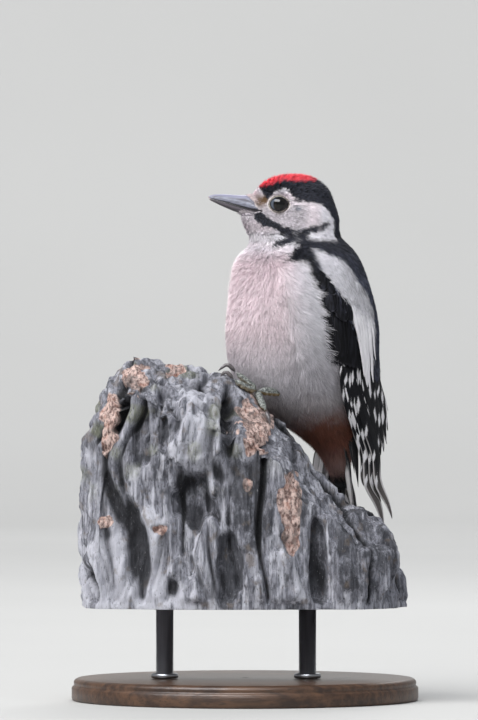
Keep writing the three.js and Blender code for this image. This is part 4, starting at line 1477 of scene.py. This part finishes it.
def make_base():
    low, high = (corner / MM for corner in node_box("stand_base"))
    radius, top = (high[0] - low[0]) / 2, high[2]
    wood = Finish("base_wood", 0.38)
    grain = wood.noise(3.0, 6.0, (0.09, 1.0, 0.6), 0.6)
    fine = wood.noise(0.8, 3.0, (0.05, 1.0, 1.0))
    wood.paint(wood.layered((52, 36, 27), ((92, 66, 48), grain.between(0.3, 0.7)),
                            ((36, 25, 19), fine.between(0.5, 0.75) * 0.6)), fine, 0.12)
    moulding = [(1.2, 0.0), (0.4, 0.3), (0, 1.2), (0, 5.6), (0.3, 6.2), (1.0, 6.6), (1.1, 7.2),
                (0.9, 7.8), (1.0, 8.6), (1.6, 9.4), (2.6, top - 0.1), (4, top)]
    middle = radius * 0.02
    profile = [(middle, 0.0), *((radius - inwards, z) for inwards, z in moulding),
               (radius * 0.5, top), (middle, top)]
    points, faces = lathe(profile, 160, (0, 0))
    make_piece("stand_base_turned", points, faces, wood, ["stand_base"])


def make_rods():
    steel = Finish("rod_steel", 0.28, metallic=1.0)
    brushed = steel.noise(0.35, 3.0, (1, 1, 0.02))
    steel.paint(steel.mix((150, 151, 154), (186, 187, 190), brushed), brushed, 0.02)
    for number in (1, 2):
        low, high = (corner / MM for corner in node_box(f"stand_rod_{number}"))
        radius = (high[0] - low[0]) / 2
        foot, head = low[2], high[2]
        collar = [(1.6, 0), (2.2, 0.4), (2.2, 1.8), (1.7, 2.3), (0, 2.5)]
        profile = [(0.1, foot), *((radius + wider, foot + z) for wider, z in collar), (radius, head),
                   (0.1, head)]
        points, faces = lathe(profile, 64, ((low + high) / 2)[:2])
        make_piece(f"stand_rod_{number}_steel", points, faces, steel,
                   [f"stand_rod_{number}"])


# ---- scene ----

def make_stage():
    """A pale floor that curves up into a wall far behind."""
    finish = Finish("pale_floor", 0.9)
    finish.paint(finish.mix((180, 180, 179), (187, 187, 186), finish.noise(400.0)))
    half, bend, flat = 4000, 900, 3200
    curve = np.linspace(0.1, math.pi / 2, 16)
    profile = [(-half, 0), (flat, 0),
               *((flat + bend * math.sin(t), bend - bend * math.cos(t)) for t in curve),
               (flat + bend, half)]
    points = np.array([[x, y, z] for y, z in profile for x in (-half, half)], float)
    mesh = bpy.data.meshes.new("floor")
    mesh.from_pydata((points * MM).tolist(), [], net_faces(len(profile), 2).tolist())
    mesh.polygons.foreach_set("use_smooth", [True] * len(mesh.polygons))
    mesh.materials.append(finish.material)
    floor = place_in_scene("floor", mesh)


WARM, COOL = (1.0, 0.98, 0.95), (0.93, 0.96, 1.0)


def make_light(name, place, size, power, colour, aim=(0.0, 0.0, 0.15), shines=False, lights=True):
    """A soft lamp. It may leave a highlight on glossy things, light them, or do both."""
    lamp = bpy.data.lights.new(name, "AREA")
    lamp.shape = "RECTANGLE"
    lamp.size, lamp.size_y = size
    lamp.energy = power
    lamp.color = colour
    light = place_in_scene(name, lamp)
    light.location = place
    light.visible_glossy = shines
    light.visible_diffuse = lights
    way = np.array(aim) - np.array(place)
    tilt = math.atan2(math.hypot(way[0], way[1]), -way[2])
    light.rotation_euler = (tilt, 0, math.atan2(way[1], way[0]) - math.pi / 2)


def make_lights():
    world = bpy.data.worlds.new("studio")
    world.use_nodes = True
    background = next(n for n in world.node_tree.nodes if n.type == "BACKGROUND")
    background.inputs["Color"].default_value = (*COOL, 1.0)
    background.inputs["Strength"].default_value = 0.4
    bpy.context.scene.world = world
    make_light("key", (-0.8, -1.3, 1.55), (1.3, 0.6), 22, WARM)
    make_light("glint", (-0.75, -1.3, 1.55), (2.3, 1.0), 95, COOL, shines=True, lights=False)
    make_light("side", (-1.6, -0.7, 1.35), (1.0, 1.0), 21, WARM)
    make_light("top", (-0.3, -0.5, 1.8), (1.2, 1.2), 14, (0.96, 0.98, 1.0))
    make_light("fill", (1.4, -1.2, 0.8), (1.0, 1.0), 4, COOL)
    make_light("back", (0.3, 1.2, 1.3), (0.8, 0.8), 12, (1.0, 1.0, 1.0), shines=True)
    make_light("backdrop", (0.0, 2.2, 2.4), (3.0, 0.8), 70, (1.0, 1.0, 1.0), aim=(0.0, 4.0, 0.3))


# ---- the coat ----

def clear_of_face(points):
    """Not where the eyes and the bill are."""
    x, _, z = in_head(points)
    eye = np.hypot((x - LIDS_AT[0]) / 1.15, z - LIDS_AT[1]) > 4.2
    bill = (off_the_bill(x, z) > 0) | (z > 6.2) | (z < -1.7 + noise(points, 1.4, 33) * 1.2)
    return eye & bill


def head_length(points):
    x, _, z = in_head(points)
    from_bill = np.hypot(x - 19, z - 1)
    near_eye = np.hypot(x - EYE_AT[0], z - EYE_AT[1])
    grown = mixed(1.6, 3.8, ease(2, 26, from_bill)) + 1.6 * ease(212, 205, points[:, 2])
    return grown * mixed(0.5, 1.0, ease(4, 8, near_eye))


def head_density(points):
    x, _, z = in_head(points)
    return (points[:, 2] > 211) * mixed(3.2, 1.9, ease(2, 14, np.hypot(x - 19, z - 1)))


def on_front(points, low, high):
    """Between two heights, on the breast and belly as far as the wing's edge."""
    height, angle = in_body(points)
    loose, tucked = wing_cover(height)
    edge = WING_FRONT(height) + tucked + 3 - 11 * loose
    return (height > low) * (height <= high) * (np.abs(angle) < edge)


def behind_coverts(points):
    """The black back and the white shoulder patch, clear of the smooth wing coverts."""
    height, angle = in_body(points)
    edge = np.where(height < 186, PATCH_FRONT(height) - 1, WING_FRONT(height) + 3)
    return (height < 205) * (height > 140) * (np.abs(angle) > edge)


def flank(points):
    """The strip of loose white feathers along the wing's front edge."""
    height, angle = in_body(points)
    behind = np.abs(angle) - WING_FRONT(height) + 4 * ease(180, 170, height)
    return (height > 137) * (height < 197) * (behind > -32) * (behind < -11)


def front_lift(base, more, low, high):
    """How far the coat stands out: more over the middle of the breast, between two heights."""
    def lift(points):
        height, angle = in_body(points)
        return base + more * ease(low, high, height) * ease(75, 45, np.abs(angle))
    return lift


def level(value):
    """The same value at every place."""
    return lambda points: np.full(len(points), value)


def make_coat(skin, over_wings, soft, head, back):
    coat_piece("head_coat", head, "head_feathers", skin=skin, seed=11, width=0.24, barbs=9, fan=15,
               length=head_length, keep=clear_of_face, density=head_density,
               lift=lambda p: 1.25 + 0.9 * ease(5, 10, in_head(p)[2]))
    coat_piece("neck_coat", head, "head_feathers", skin=skin, seed=12, width=0.24, barbs=13, fan=18,
               length=level(5.4), lift=front_lift(1.15, 0.75, 207, 200), wild=0.2,
               density=lambda p: 1.5 * (p[:, 2] <= 211) * ease(192, 199, p[:, 2]))
    coat_piece("breast_coat", soft, "body_feathers", skin=skin, seed=21, width=0.18, barbs=13, fan=20,
               length=level(6.5), curl=0.3, lift=front_lift(1.3, 0.45, 182, 194),
               density=lambda p: 1.5 * on_front(p, 165, 204) * ease(204, 198, p[:, 2]))
    for name, low, high in (("belly", 138, 166), ("vent", 96, 138)):
        coat_piece(f"{name}_coat", soft, "body_feathers", skin=skin, seed=22, width=0.16, barbs=15,
                   fan=24, length=level(8.5), lift=level(1.25), wild=0.3,
                   density=lambda p: 1.2 * on_front(p, low, high))
    coat_piece("flank_coat", soft, "body_feathers", skin=over_wings, seed=23, width=0.14, barbs=11,
               fan=14, length=level(9.2), lift=level(6.5), curl=0.2, plain=True, wild=0.3,
               density=flank)
    coat_piece("back_coat", back, "black_feathers", skin=skin, seed=31, width=0.36, barbs=13, fan=12,
               length=level(8.5), lift=level(1.0), density=lambda p: 0.62 * behind_coverts(p))


def make_bird():
    skin = Skin(FLESH, coat_depth)
    soft = plumage_finish("soft_plumage", 0.85, 0.12)
    head = plumage_finish("head_plumage", 0.75, 0.4, sheen_share=0.28, uneven=0.4)
    back = plumage_finish("back_plumage", 0.6, 0.4, sheen_share=0.9)
    # The skin counts as deep in the coat, so the finish gives it the painted shade of the feather roots.
    values = {**markings(skin.points), "along": 0.2, "tone": 0.0}
    dull = 0.8 * ease(176, 150, skin.points[..., 2])
    values["grey"] = np.maximum(values["grey"], dull)
    make_piece("skin", skin.points, [skin.faces], soft, FLESH, values)
    over_wings = Skin([*FLESH, *WING_NODES], lambda points: np.full(points.shape[:2], 0.4))
    make_coat(skin, over_wings, soft, head, back)
    make_wings(Shell(WING_NODES, SPINE, WING_TOP, WING_LOW, closed=False))
    make_coverts(over_wings.shell)
    make_scapulars(over_wings.shell)
    make_tail()
    make_eyes(skin)
    make_bill()
    make_bristles(head)
    make_feet()


make_camera()
bpy.context.scene.view_settings.view_transform = "Standard"
make_stage()
make_lights()
make_bird()
make_perch()
make_base()
make_rods()
